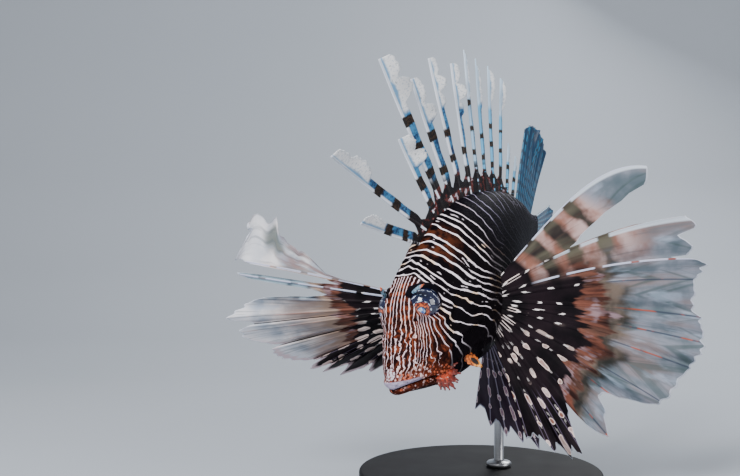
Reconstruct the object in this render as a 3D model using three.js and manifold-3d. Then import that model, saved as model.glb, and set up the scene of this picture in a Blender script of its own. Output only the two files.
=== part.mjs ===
// A red lionfish at life size, still, on a small display stand.
// Millimetres, +Z up. The origin is the centre of the underside of the stand's base.
// The fish is described in its own measures and then bent along its centre line:
// s runs from the snout back to the root of the tail fin, l is to its left, u is up its back.
import * as THREE from 'three';
import Module from 'manifold-3d';

const wasm = await Module();
wasm.setup();

// Size of the fish
const STANDARD_LENGTH = 270;
const GAP = 0.3;
const SUNK = 6;

// Pose: heading to the viewer's left, nose down, and rolled, in degrees at the head,
// and how much of each is lost from behind the skull to the tail
const SKULL_LENGTH = 85;
const YAW = 37;
const YAW_LOST = 17;
const PITCH = 32;
const PITCH_LOST = 38;
const ROLL = 10;
const ROLL_LOST = 17;
const PITCH_EASE = 1.3;
const SHOULDER_STATION = 100;
const SHOULDER = new THREE.Vector3(-17, -33, 144);

// Outline of the body: station, back, belly, half width
const OUTLINE = [
  [-2, -6, -8.8, 1.6],
  [0, -3.4, -11, 5],
  [4, 0.5, -14, 8.8],
  [13, 9.5, -19.5, 14.5],
  [27, 23, -27.5, 19.5],
  [40, 34, -33.5, 22.5],
  [54, 40.5, -38.5, 25.5],
  [68, 44, -42, 28],
  [81, 48, -45, 29.2],
  [95, 52, -47, 29.2],
  [108, 54, -47.8, 28.4],
  [135, 53, -46.5, 24.3],
  [162, 46.5, -41, 19],
  [189, 36.5, -31.5, 13.5],
  [216, 25, -21.5, 9.2],
  [238, 16, -15, 6],
  [254, 13.5, -13, 4.2],
  [270, 14.5, -14.5, 2.7],
];
const MIDDLE_HEIGHT = 0.52;

// Where the head, trunk and tail stalk part. The gill cover's edge bows back at the sides
const NECK_STATION = 84;
const GILL_BOW = 12;
const GILL_BOW_SPREAD = 28;
const STALK_STATION = 205;
const STALK_END = 264;

// Head
const EYE_STATION = 47;
const EYE_SIDE = 12.5;
const EYE_HEIGHT = 23;
const EYE_RADIUS = 11;
const MOUTH = [[-6, -6.5], [4, -8.5], [18, -14], [31, -22], [37, -30], [44, -62]];
const MOUTH_SLIT = 0.8;
const NOSTRILS = [[24, 12.6, 14.5], [32, 13.6, 21.5]];
const NOSTRIL_RADIUS = 1.7;

// Raised features of the head, each a rounded ridge of some width and height: the rim of the
// orbit, the lips, a ridge across the cheek, the preopercle's edge and a pair on the crown
const SIDES_FROM = 4;
const ORBIT_RIM = { beyond: 1.2, width: 2.6, height: 2.2 };
const LIP = { offset: 2.4, width: 1.8, height: 1.3, end: 36 };
const CHEEK_RIDGE = { u: -3, slope: -0.06, width: 2.6, height: 1.5, from: 16, to: 76 };
const PREOPERCLE = { station: 68, width: 2.4, height: 1.4, from: -40, to: 14 };
const PREOPERCLE_BOW = { u: -6, width: 14, height: 5 };
const CROWN_RIDGE = { side: 7.5, width: 2.2, height: 1.1, above: 20, from: 22, to: 80 };

// Fins: ray tips, how a bend gathers towards them, and the skin between rays
const RAY_TIP = 0.3;
const RAY_TAPER = 0.8;
const BEND_EASE = 1.4;
const MEMBRANE = 0.6;
const FLESH = 2.4;
const FLESH_REACH = 0.07;

// Spiny back fin. Each spine: length, forward lean, width of the lobed flap behind its tip.
// A low skin joins their lower parts, and the flaps turn to the fish's left towards the tips
const SPINE_STATIONS = [88, 202];
const SPINES = [
  [58, 47, 7], [100, 34, 11], [62, 6, 15], [115, 6, 15], [92, 2, 9], [100, -4, 10], [93, -10, 10],
  [102, -12, 3], [96, -11, 4], [92, -12, 5], [86, -15, 5], [39, -15, 2], [32, -18, 2],
];
const SPINE_RADIUS = 1.3;
const SPINE_BEND = -5;
const SPINE_ROWS = 10;
const SPINE_JOINED = 2;
const STRIP_WIDTH = 3;
const LOBES_FROM = 0.58;
const FLAP_TWIST = 50;

// Soft back fin, anal fin and tail fin: stations, ray lengths and leans at their two ends
const SOFT_BACK = { count: 11, stations: [209, 243], lengths: [71, 68], leans: [-24, -32], radius: 0.75 };
const ANAL = { count: 8, stations: [178, 219], lengths: [46, 54], leans: [-28, -60], radius: 0.8 };
const TAIL_FIN = { count: 12, length: 73, spread: 17, height: 11, radius: 0.75 };
const SOFT_ROWS = 4;
const SOFT_BEND = -8;

// Breast fins, from the topmost ray down: lean, bend, tilt, length, and the share of the
// length that skin joins to the next ray
const LEFT_BREAST_RAYS = [
  [48, -56, 3, 138, 0.35], [31, -28, 3, 152, 0.8], [17, -20, 4, 149, 0.9], [9, -12, 4, 140, 1],
  [-3, -6, 5, 142, 1], [-10, -4, 4, 142, 1], [-17, -4, 3, 139, 1], [-28, -5, 2, 126, 1],
  [-35, -4, 1, 106, 0.8], [-45, -6, 0, 112, 0.9], [-54, -5, -1, 111, 0.9], [-59, -4, -2, 109, 0.9],
  [-64, -4, -3, 101, 0.9], [-71, -4, -4, 88, 0],
];
const RIGHT_BREAST_RAYS = [
  [14, 2, 8, 138, 0.45], [8, 2, 8, 138, 0.45], [2, 0, 10, 138, 0.7], [-3.5, 0, 12, 142, 0.7],
  [-8, 0, 14, 136, 0.7], [-13, 0, 18, 124, 0.8], [-18, 0, 23, 118, 0.85], [-24, 0, 27, 113, 0.85],
  [-29, 0, 31, 111, 0.85], [-34, 0, 35, 109, 0.85], [-42, 0, 41, 101, 0.85], [-54, 0, 50, 88, 0.85],
  [-66, 0, 56, 78, 0.85], [-78, 0, 60, 66, 0],
];
const BREAST = { rows: 6, radius: 1.1, notch: 0.05, station: 95, side: 15, height: -7, root: 17 };
const LEFT_FEATHER = 20;
const LEFT_FEATHER_EASE = 4;
const RIGHT_FEATHER = 28;
const RIGHT_PETALS = [6, 8, 9, 9, 8, 7, 6, 6, 5, 5, 5, 4, 4];
const LEFT_PETALS = [9, 9, 8, 8, 8, 8, 8, 9, 9, 8, 7, 7];

// Belly fins, from the hindmost ray forward to the spine: lean, length
const LEFT_BELLY_RAYS = [[-59, 90], [-66, 84], [-72, 76], [-79, 68], [-87, 60], [-98, 46]];
const RIGHT_BELLY_RAYS = [[-12, 90], [-19, 84], [-27, 76], [-35, 68], [-43, 60], [-52, 46]];
const BELLY = { rows: 5, radius: 0.75, station: 99, side: 6, height: 13, root: 10, tilt: 7, notch: 0.12 };

// Flaps of skin: over the eye, at the corner of the mouth and on the gill cover's edge
// Brow flaps: each stands its own way, as shares of forward, left and up
const BROW_FLAP = { s: 44, l: 12, u: 35, width: 4.2, thick: 1.8 };
const BROW_FLAPS = {
  left: { way: [0.2, 0.91, 0.38], length: 16.5 },
  right: { way: [0.3, 0.3, 0.9], length: 9.5 },
};
const CHEEK_FLAP = { s: 28, l: 14.5, u: -16, length: 16, width: 6.5, thick: 2.4 };
const CHEEK_FINGERS = [-62, -34, -6, 22, 50];
const JAW_FLAP = { s: 53, l: 17.5, u: -21.5, length: 15, width: 10, thick: 2.2 };

// Display stand
const BASE_RADIUS = 88;
const BASE_HEIGHT = 12;
const BASE_EDGE = 2;
const ROD_STATION = 136;
const ROD_RADIUS = 3.5;
const FOOT_RADIUS = 9;
const FOOT_HEIGHT = 4;

const RAD = Math.PI / 180;
const clamp01 = (x) => Math.min(1, Math.max(0, x));
const ridge = (distance, { width, height }) => height * Math.exp(-((distance / width) ** 2));
const within = (x, from, to, ease) => clamp01((x - from) / ease) * clamp01((to - x) / ease);

// The value of a smooth curve through the pairs of columns 0 and `column` of a table
function along(table, column, x) {
  const last = table.length - 1;
  let i = 0;
  while (i < last - 1 && x > table[i + 1][0]) i += 1;
  const slope = (j) => {
    const a = Math.max(0, j - 1);
    const b = Math.min(last, j + 1);
    return (table[b][column] - table[a][column]) / (table[b][0] - table[a][0]);
  };
  const span = table[i + 1][0] - table[i][0];
  const t = clamp01((x - table[i][0]) / span);
  const [t2, t3] = [t * t, t * t * t];
  return (2 * t3 - 3 * t2 + 1) * table[i][column] + (t3 - 2 * t2 + t) * span * slope(i)
    + (3 * t2 - 2 * t3) * table[i + 1][column] + (t3 - t2) * span * slope(i + 1);
}

// Axes of the body at a station: forward, left and up
function axesAt(s) {
  const t = clamp01((s - SKULL_LENGTH) / (STANDARD_LENGTH - SKULL_LENGTH));
  const yaw = (YAW - YAW_LOST * t) * RAD;
  const pitch = (PITCH - PITCH_LOST * t ** PITCH_EASE) * RAD;
  const roll = (ROLL - ROLL_LOST * t) * RAD;
  const forward = new THREE.Vector3(
    -Math.sin(yaw) * Math.cos(pitch), -Math.cos(yaw) * Math.cos(pitch), -Math.sin(pitch));
  const level = new THREE.Vector3(0, 0, 1).cross(forward).normalize();
  const upright = forward.clone().cross(level);
  const left = level.clone().multiplyScalar(Math.cos(roll)).addScaledVector(upright, Math.sin(roll));
  const up = upright.multiplyScalar(Math.cos(roll)).addScaledVector(level, -Math.sin(roll));
  return { forward, left, up };
}

// The centre line, one point for each millimetre of length
const centreLine = [new THREE.Vector3()];
for (let s = 1; s <= STANDARD_LENGTH; s += 1) {
  centreLine.push(centreLine[s - 1].clone().addScaledVector(axesAt(s - 0.5).forward, -1));
}
const toShoulder = SHOULDER.clone().sub(centreLine[SHOULDER_STATION]);
centreLine.forEach((point) => point.add(toShoulder));

// The place in the part of a point in the fish's own measures
function place(s, l, u) {
  const i = Math.min(STANDARD_LENGTH - 1, Math.max(0, Math.floor(s)));
  const { forward, left, up } = axesAt(s);
  const point = centreLine[i].clone().lerp(centreLine[i + 1], s - i);
  return point.addScaledVector(left, l).addScaledVector(up, u);
}

const back = (s) => along(OUTLINE, 1, s);
const belly = (s) => along(OUTLINE, 2, s);

// Height of the head's raised features over the plain oval, at a point of its surface
function relief(s, l, u) {
  const side = clamp01((Math.abs(l) - SIDES_FROM) / 8);
  const fromOrbit = Math.hypot(s - EYE_STATION, u - EYE_HEIGHT) - EYE_RADIUS - ORBIT_RIM.beyond;
  const gape = along(MOUTH, 1, Math.min(s, MOUTH[3][0]));
  const lips = clamp01((LIP.end - s) / 8) * ridge(Math.abs(u - gape) - LIP.offset, LIP);
  const onCheek = within(s, CHEEK_RIDGE.from, CHEEK_RIDGE.to, 10);
  const cheek = onCheek * ridge(u - CHEEK_RIDGE.u - CHEEK_RIDGE.slope * s, CHEEK_RIDGE);
  const edge = PREOPERCLE.station + ridge(u - PREOPERCLE_BOW.u, PREOPERCLE_BOW);
  const preopercle = within(u, PREOPERCLE.from, PREOPERCLE.to, 8) * ridge(s - edge, PREOPERCLE);
  const onCrown = u > CROWN_RIDGE.above ? within(s, CROWN_RIDGE.from, CROWN_RIDGE.to, 9) : 0;
  const crown = onCrown * ridge(Math.abs(l) - CROWN_RIDGE.side, CROWN_RIDGE);
  return side * (ridge(fromOrbit, ORBIT_RIM) + cheek + preopercle) + lips + crown;
}

// A point on the body at station s, turned by `angle` from the back, grown by `grow`
function skin(s, angle, grow = 0, withRelief = false) {
  const side = Math.sin(angle) ** 2;
  const bow = GILL_BOW * side * Math.exp(-(((s - NECK_STATION) / GILL_BOW_SPREAD) ** 2));
  const station = s + bow;
  const width = along(OUTLINE, 3, station);
  const top = back(station);
  const bottom = belly(station);
  const middle = bottom + MIDDLE_HEIGHT * (top - bottom);
  const half = Math.cos(angle) > 0 ? top - middle : middle - bottom;
  const l = width * Math.sin(angle);
  const u = middle + half * Math.cos(angle);
  const slope = new THREE.Vector2(Math.sin(angle) * half, Math.cos(angle) * width).normalize();
  const raised = grow + (withRelief ? relief(station, l, u) : 0);
  return place(station, l + slope.x * raised, u + slope.y * raised);
}

// One closed mesh from rings of equal count, with a flat fan at either end
function loft(rings) {
  const count = rings[0].length;
  const positions = rings.flat().flatMap((p) => [p.x, p.y, p.z]);
  const triangles = [];
  for (let r = 0; r < rings.length - 1; r += 1) {
    for (let i = 0; i < count; i += 1) {
      const [a, b] = [r * count + i, r * count + ((i + 1) % count)];
      triangles.push(a, a + count, b + count, a, b + count, b);
    }
  }
  [0, rings.length - 1].forEach((r) => {
    const centre = new THREE.Vector3();
    rings[r].forEach((p) => centre.addScaledVector(p, 1 / count));
    const hub = positions.length / 3;
    positions.push(centre.x, centre.y, centre.z);
    for (let i = 0; i < count; i += 1) {
      const [a, b] = [r * count + i, r * count + ((i + 1) % count)];
      triangles.push(...(r === 0 ? [hub, a, b] : [hub, b, a]));
    }
  });
  return { positions, triangles };
}

// A manifold solid from a closed mesh, turned the right way out
function solid({ positions, triangles }) {
  const volume = (tri) => {
    let sum = 0;
    for (let i = 0; i < tri.length; i += 3) {
      const [a, b, c] = [0, 1, 2].map((k) => new THREE.Vector3().fromArray(positions, 3 * tri[i + k]));
      sum += a.dot(b.cross(c));
    }
    return sum;
  };
  const outward = volume(triangles) > 0 ? triangles : [...triangles].reverse();
  const vertProperties = new Float32Array(positions);
  const triVerts = new Uint32Array(outward);
  return new wasm.Manifold(new wasm.Mesh({ numProp: 3, vertProperties, triVerts }));
}

// The pieces of a solid, largest first
const pieces = (whole) => whole.decompose().sort((a, b) => b.volume() - a.volume());

// Stretch of the body between two stations
function bodyLength(from, to, steps, around, grow = 0, withRelief = false) {
  const rings = [];
  for (let r = 0; r <= steps; r += 1) {
    const s = from + ((to - from) * r) / steps;
    const ring = [];
    for (let i = 0; i < around; i += 1) {
      ring.push(skin(s, (2 * Math.PI * i) / around, grow, withRelief));
    }
    rings.push(ring);
  }
  return solid(loft(rings));
}

// The three lengths of the body, as they are or grown by the gap to trim what is set on them
const skullLength = (grow) => bodyLength(-2, NECK_STATION - GAP / 2 + grow, 25, 32, grow, true);
const trunkLength = (grow) =>
  bodyLength(NECK_STATION + GAP / 2 - grow, STALK_STATION - GAP / 2 + grow, 20, 28, grow);
const stalkLength = (grow) => bodyLength(STALK_STATION + GAP / 2 - grow, STALK_END + grow, 8, 20, grow);
const grownBody = skullLength(GAP).add(trunkLength(GAP)).add(stalkLength(GAP));

const group = new THREE.Group();

// One named piece from a solid, with its finish
function add(name, whole, colour, roughness, metalness = 0) {
  const { vertProperties, triVerts } = pieces(whole)[0].getMesh();
  const geometry = new THREE.BufferGeometry();
  geometry.setAttribute('position', new THREE.BufferAttribute(new Float32Array(vertProperties), 3));
  geometry.setIndex(Array.from(triVerts));
  const finish = new THREE.MeshStandardMaterial({ color: colour, roughness, metalness });
  const mesh = new THREE.Mesh(geometry, finish);
  mesh.name = name;
  group.add(mesh);
}

// A ball of flat facets about a centre
function ball(centre, radius, across, down) {
  const corners = new THREE.SphereGeometry(radius, across, down).getAttribute('position');
  const rings = [];
  for (let j = 1; j < down; j += 1) {
    const ring = [];
    for (let i = 0; i < across; i += 1) {
      ring.push(new THREE.Vector3().fromBufferAttribute(corners, j * (across + 1) + i).add(centre));
    }
    rings.push(ring);
  }
  return solid(loft(rings));
}

// Directions of a fin: along x, round to y, and out of it along z, each given as its share
// of forward, left and up at a station
function finAxes(station, x, y, z) {
  const { forward, left, up } = axesAt(station);
  const mix = ([f, l, u]) => new THREE.Vector3()
    .addScaledVector(forward, f).addScaledVector(left, l).addScaledVector(up, u).normalize();
  return { x: mix(x), y: mix(y), z: mix(z) };
}

// One ray from its root: it starts at `lean` degrees from x towards y, turns by `bend` along
// its length and stands out of the fin by `tilt`. Its neighbour lies the way of `next`
function rayLine(axes, root, rows, { lean, bend = 0, ease = BEND_EASE, tilt = 0, length, radius }) {
  const finer = 4;
  const point = root.clone();
  const line = [];
  for (let k = 0; k <= rows * finer; k += 1) {
    const w = k / (rows * finer);
    const a = (lean + bend * w ** ease) * RAD;
    const b = tilt * RAD;
    const onward = axes.x.clone().multiplyScalar(Math.cos(a) * Math.cos(b))
      .addScaledVector(axes.y, Math.sin(a) * Math.cos(b)).addScaledVector(axes.z, Math.sin(b));
    const next = axes.x.clone().multiplyScalar(Math.sin(a)).addScaledVector(axes.y, -Math.cos(a));
    if (k > 0) point.addScaledVector(onward, length / (rows * finer));
    if (k % finer === 0) {
      const face = onward.clone().cross(next).normalize();
      const taper = RAY_TIP + (radius - RAY_TIP) * (1 - w) ** RAY_TAPER;
      line.push({ w, point: point.clone(), next, face, radius: taper });
    }
  }
  return line;
}

// Rays whose roots lie on an arc about a hub inside the body, so that they only part
function fanRays(axes, hub, rootReach, rows, specs) {
  return specs.map((spec) => {
    const [start] = rayLine(axes, hub, 1, { ...spec, bend: 0, length: 0 });
    const onward = start.next.clone().cross(start.face).normalize();
    return rayLine(axes, hub.clone().addScaledVector(onward, rootReach), rows, spec);
  });
}

// Closed sheet over neighbouring lines of points. The cell between lines c and c + 1 is
// filled for its first filled[c] rows, and both faces are split along the same diagonals
function sheet(lines, filled) {
  const rows = lines[0].length;
  const positions = lines.flat().flatMap(({ point, face, thick }) => [
    ...point.clone().addScaledVector(face, thick / 2).toArray(),
    ...point.clone().addScaledVector(face, -thick / 2).toArray(),
  ]);
  const id = (c, r) => 2 * (c * rows + r);
  const triangles = [];
  const wall = (p, q) => triangles.push(q, p, p + 1, q, p + 1, q + 1);
  filled.forEach((count, c) => {
    for (let r = 0; r < count; r += 1) {
      const [a, b, d, e] = [id(c, r), id(c, r + 1), id(c + 1, r + 1), id(c + 1, r)];
      triangles.push(a, b, d, a, d, e, a + 1, d + 1, b + 1, a + 1, e + 1, d + 1);
      if (r === 0) wall(e, a);
      if (r === count - 1) wall(b, d);
      if (c === 0 || r >= filled[c - 1]) wall(a, b);
      if (c === filled.length - 1 || r >= filled[c + 1]) wall(d, e);
    }
  });
  return solid({ positions, triangles });
}

// Thickness of a fin's skin, fleshy at its root
const skinThickness = (w) => MEMBRANE + FLESH * Math.exp(-w / FLESH_REACH);

// A point beside a ray, `across` towards its neighbour, the skin there turned by `twist`
function beside(at, across, twist = 0) {
  const [cos, sin] = [Math.cos(twist * RAD), Math.sin(twist * RAD)];
  const way = at.next.clone().multiplyScalar(cos).addScaledVector(at.face, -sin);
  const face = at.face.clone().multiplyScalar(cos).addScaledVector(at.next, sin);
  return { point: at.point.clone().addScaledVector(way, across), face, thick: skinThickness(at.w) };
}

// Point of a line at a row that may lie between two rows
function between(line, row) {
  const k = Math.min(line.length - 2, Math.floor(row));
  const t = row - k;
  return {
    point: line[k].point.clone().lerp(line[k + 1].point, t),
    face: line[k].face.clone().lerp(line[k + 1].face, t).normalize(),
    thick: line[k].thick + (line[k + 1].thick - line[k].thick) * t,
  };
}

// Fin of raised rays with skin between them. joined[i] rows of skin join ray i to the next,
// with their margin drawn in by notch. Past them flaps[i](w), where given, is the width of
// the skin that ray i keeps for itself, and lead(w) that of skin before the first ray
function rayedFan(rays, { joined, notch = 0, flaps = [], lead = null, twist = 0, middle = true }) {
  const rows = rays[0].length - 1;
  const flank = (ray, side) => ray.map((at) => beside(at, side * at.radius));
  const crest = (ray) => ray.map((at) => ({
    point: at.point, face: at.face, thick: Math.max(2 * at.radius, skinThickness(at.w)),
  }));
  const lines = [];
  const filled = [];
  if (lead) {
    lines.push(rays[0].map((at) => beside(at, -at.radius - lead(at.w))));
    filled.push(rows);
  }
  rays.forEach((ray, i) => {
    const trail = flank(ray, 1);
    lines.push(flank(ray, -1), crest(ray), trail);
    filled.push(rows, rows);
    const flap = flaps[i];
    const last = i === rays.length - 1;
    if (last && !flap) return;
    if (!last && !middle) {
      filled.push(joined[i]);
      return;
    }
    const onward = last ? null : flank(rays[i + 1], -1);
    lines.push(ray.map((at, k) => {
      if (!last && k <= joined[i]) {
        const row = k * (1 - notch * (k / rows) ** 2);
        const [a, b] = [between(trail, row), between(onward, row)];
        return { point: a.point.lerp(b.point, 0.5), face: a.face.add(b.face).normalize(), thick: MEMBRANE };
      }
      return beside(at, at.radius + (flap ? flap(at.w) : 0.2), twist * at.w);
    }));
    filled.push(flap ? rows : joined[i]);
    if (!last) filled.push(joined[i]);
  });
  return sheet(lines, filled);
}

// Sets a fin on the body: what lies inside the body, and a gap round it, is cut away
const setOn = (fin) => fin.subtract(grownBody);

// Tapered flap of skin: an oval carried along a bent line, as wide as `width` at its middle
function flap(root, onward, wide, length, width, thick, bend = 0) {
  const rings = [];
  const [steps, around] = [5, 6];
  const point = root.clone();
  const face = onward.clone().cross(wide).normalize();
  for (let k = 0; k <= steps; k += 1) {
    const w = k / steps;
    const heading = onward.clone().applyAxisAngle(wide, bend * w * RAD);
    if (k > 0) point.addScaledVector(heading, length / steps);
    const swell = (0.55 + 0.45 * Math.sin(Math.PI * w)) * (1 - 0.75 * w ** 3);
    const ring = [];
    for (let i = 0; i < around; i += 1) {
      const a = (2 * Math.PI * i) / around;
      ring.push(point.clone().addScaledVector(wide, (Math.cos(a) * width * swell) / 2)
        .addScaledVector(face, (Math.sin(a) * thick * (1 - 0.5 * w)) / 2));
    }
    rings.push(ring);
  }
  return solid(loft(rings));
}

// Head and lower jaw: one skull parted along the mouth, with eye sockets and nostrils cut in
const eyeCentre = (side) => place(EYE_STATION, side * EYE_SIDE, EYE_HEIGHT);
let skull = skullLength(0);
[-1, 1].forEach((side) => {
  skull = skull.subtract(ball(eyeCentre(side), EYE_RADIUS + GAP, 18, 12));
  NOSTRILS.forEach(([s, l, u]) => {
    skull = skull.subtract(ball(place(s, side * l, u), NOSTRIL_RADIUS, 8, 6));
  });
});
const mouthLine = (l) => MOUTH.map(([s, u], k) => {
  const [s0, u0] = MOUTH[Math.max(0, k - 1)];
  const [s1, u1] = MOUTH[Math.min(MOUTH.length - 1, k + 1)];
  const run = place(s1, l, u1).sub(place(s0, l, u0));
  return { point: place(s, l, u), face: run.cross(axesAt(0).left).normalize(), thick: MOUTH_SLIT };
});
const reach = 2 * SKULL_LENGTH;
const mouth = sheet([mouthLine(-reach), mouthLine(reach)], [MOUTH.length - 1]);
const [head, jaw] = pieces(skull.subtract(mouth));
add('head', head, 0x7a3328, 0.55);
add('lower_jaw', jaw, 0x6b3a34, 0.55);

// Trunk and tail stalk
add('trunk', trunkLength(0), 0x2a1416, 0.5);
add('tail_stalk', stalkLength(0), 0x241417, 0.5);

// Eyes
[['left', 1], ['right', -1]].forEach(([name, side]) => {
  add(`eye_${name}`, ball(eyeCentre(side), EYE_RADIUS, 18, 12), 0x14203c, 0.15);
});

// The value between the two ends of a fin for ray i of `count`
const share = ([first, last], i, count) => first + ((last - first) * i) / (count - 1);

// Axes for fins in the fish's middle plane: up or down first, and then forward
const upAxes = (s) => finAxes(s, [0, 0, 1], [1, 0, 0], [0, 1, 0]);
const downAxes = (s) => finAxes(s, [0, 0, -1], [1, 0, 0], [0, 1, 0]);

// Spiny back fin: every second row of a flap is wide, which makes its lobes
const spineRays = SPINES.map(([length, lean], i) => {
  const s = share(SPINE_STATIONS, i, SPINES.length);
  const spec = { lean, bend: SPINE_BEND, length: length + SUNK, radius: SPINE_RADIUS };
  return rayLine(upAxes(s), place(s, 0, back(s) - SUNK), SPINE_ROWS, spec);
});
const spineFlaps = SPINES.map(([, , width]) => (w) => {
  if (w < LOBES_FROM) return Math.min(STRIP_WIDTH, width);
  const lobe = Math.round(w * SPINE_ROWS) % 2 === 0 ? 1 : 0.45;
  return Math.max(0.3, width * lobe * (1 - w ** 6));
});
const spinyBackFin = rayedFan(spineRays, {
  joined: SPINES.map(() => SPINE_JOINED), flaps: spineFlaps, twist: FLAP_TWIST,
});
add('spiny_back_fin', setOn(spinyBackFin), 0x6f7f92, 0.5);

// Soft fin in the middle plane, its rays evenly changing from one end to the other
function softFin({ count, stations, lengths, leans, radius }, axesOf, edge, sunk) {
  const rays = [];
  for (let i = 0; i < count; i += 1) {
    const s = share(stations, i, count);
    const length = share(lengths, i, count) + SUNK;
    const spec = { lean: share(leans, i, count), bend: SOFT_BEND, length, radius };
    rays.push(rayLine(axesOf(s), place(s, 0, edge(s) + sunk), SOFT_ROWS, spec));
  }
  return setOn(rayedFan(rays, { joined: rays.map(() => SOFT_ROWS), middle: false }));
}
add('soft_back_fin', softFin(SOFT_BACK, upAxes, back, -SUNK), 0x4f9cc4, 0.4);
add('anal_fin', softFin(ANAL, downAxes, belly, SUNK), 0x4a6c86, 0.4);

// Tail fin, behind the stalk
const tailAxes = finAxes(STANDARD_LENGTH, [-1, 0, 0], [0, 0, 1], [0, 1, 0]);
const tailRays = [];
for (let i = 0; i < TAIL_FIN.count; i += 1) {
  const t = share([1, -1], i, TAIL_FIN.count);
  const length = TAIL_FIN.length - 5 * t * t + SUNK;
  const spec = { lean: TAIL_FIN.spread * t, length, radius: TAIL_FIN.radius };
  tailRays.push(rayLine(tailAxes, place(STALK_END - SUNK, 0, TAIL_FIN.height * t), SOFT_ROWS, spec));
}
const tailFin = rayedFan(tailRays, { joined: tailRays.map(() => SOFT_ROWS), middle: false });
add('tail_fin', setOn(tailFin), 0x3f8fb0, 0.4);

// Breast fins, spread in one plane that is turned from the body's cross-section by the turn
// the fish is making, the right one swung forward and the left one back
const SPREAD = {
  left: [-0.52, 0.75, -0.41],
  right: [0.52, -0.75, 0.41],
  up: [-0.51, 0.11, 0.85],
  behind: [-0.68, -0.65, -0.33],
};
function breastFin(side, table, shape) {
  const outward = side > 0 ? SPREAD.left : SPREAD.right;
  const axes = finAxes(SHOULDER_STATION, outward, SPREAD.up, SPREAD.behind);
  const specs = table.map(([lean, bend, tilt, length], i) => {
    const ease = side > 0 && i === 0 ? LEFT_FEATHER_EASE : BEND_EASE;
    return { lean, bend, ease, tilt, length: length + SUNK, radius: BREAST.radius };
  });
  const hub = place(BREAST.station, side * BREAST.side, BREAST.height);
  const rays = fanRays(axes, hub, BREAST.root - SUNK, BREAST.rows, specs);
  const joined = table.map((row) => Math.round(row[4] * BREAST.rows));
  return setOn(rayedFan(rays, { joined, notch: BREAST.notch, ...shape }));
}
const leftFeather = (w) => Math.max(0.3, LEFT_FEATHER * Math.min(1, 5 * (1 - w)));
const rightFeather = (w) => {
  const swell = clamp01((w - 0.4) / 0.5) * (1 - 0.35 * clamp01((w - 0.8) / 0.2));
  return Math.max(0.3, RIGHT_FEATHER * swell);
};
const petals = (widths) => widths.map((width) => (w) => Math.max(0.3, width * (1 - w ** 5)));
const leftShape = { flaps: [leftFeather, ...petals(LEFT_PETALS)] };
add('breast_fin_left', breastFin(1, LEFT_BREAST_RAYS, leftShape), 0x8b8ea3, 0.5);
const rightShape = { lead: rightFeather, flaps: petals(RIGHT_PETALS) };
add('breast_fin_right', breastFin(-1, RIGHT_BREAST_RAYS, rightShape), 0x8b8ea3, 0.5);

// Belly fins: the left one spread like the breast fins, the right one folded back
const FOLDED = { x: [-0.66, -0.74, -0.15], y: [-0.1, -0.3, 0.95], z: [-0.71, 0.68, 0.14] };
function bellyFin(side, axes, table) {
  const tilt = side > 0 ? BELLY.tilt : 0;
  const specs = table.map(([lean, length]) => ({ lean, tilt, length, radius: BELLY.radius }));
  const hub = place(BELLY.station, side * BELLY.side, belly(BELLY.station) + BELLY.height);
  const rays = fanRays(axes, hub, BELLY.root, BELLY.rows, specs);
  return setOn(rayedFan(rays, { joined: table.map(() => BELLY.rows), notch: BELLY.notch }));
}
const spreadAxes = finAxes(SHOULDER_STATION, SPREAD.left, SPREAD.up, SPREAD.behind);
const foldedAxes = finAxes(SHOULDER_STATION, FOLDED.x, FOLDED.y, FOLDED.z);
add('belly_fin_left', bellyFin(1, spreadAxes, LEFT_BELLY_RAYS), 0x3d2a3a, 0.5);
add('belly_fin_right', bellyFin(-1, foldedAxes, RIGHT_BELLY_RAYS), 0x3d2a3a, 0.5);

// Flaps of skin on the head. The cheek flap is cut into fingers, joined at their root
[['left', 1], ['right', -1]].forEach(([name, side]) => {
  const { forward, left, up } = axesAt(EYE_STATION);
  const out = left.clone().multiplyScalar(side);
  const brow = place(BROW_FLAP.s, side * BROW_FLAP.l, BROW_FLAP.u);
  const { way: [f, l, u], length } = BROW_FLAPS[name];
  const browWay = forward.clone().multiplyScalar(f).addScaledVector(left, l).addScaledVector(up, u);
  browWay.normalize();
  const browWide = out.clone().cross(browWay).normalize();
  const browFlap = flap(brow, browWay, browWide, length, BROW_FLAP.width, BROW_FLAP.thick);
  add(`brow_flap_${name}`, setOn(browFlap), 0xd0682c, 0.6);

  const downward = out.clone().multiplyScalar(0.6).addScaledVector(up, -0.8).normalize();
  const faceOut = downward.clone().cross(forward).normalize();
  const cheek = place(CHEEK_FLAP.s, side * CHEEK_FLAP.l, CHEEK_FLAP.u);
  const fingers = CHEEK_FINGERS.map((turn) => {
    const way = downward.clone().applyAxisAngle(faceOut, turn * RAD);
    const wide = forward.clone().applyAxisAngle(faceOut, turn * RAD);
    return flap(cheek, way, wide, CHEEK_FLAP.length, CHEEK_FLAP.width, CHEEK_FLAP.thick);
  });
  add(`cheek_flap_${name}`, setOn(fingers.reduce((whole, finger) => whole.add(finger))), 0xc8421e, 0.6);

  const gill = place(JAW_FLAP.s, side * JAW_FLAP.l, JAW_FLAP.u);
  const jawFlap = flap(gill, downward, forward, JAW_FLAP.length, JAW_FLAP.width, JAW_FLAP.thick);
  add(`jaw_flap_${name}`, setOn(jawFlap), 0xd0762c, 0.6);
});

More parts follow.
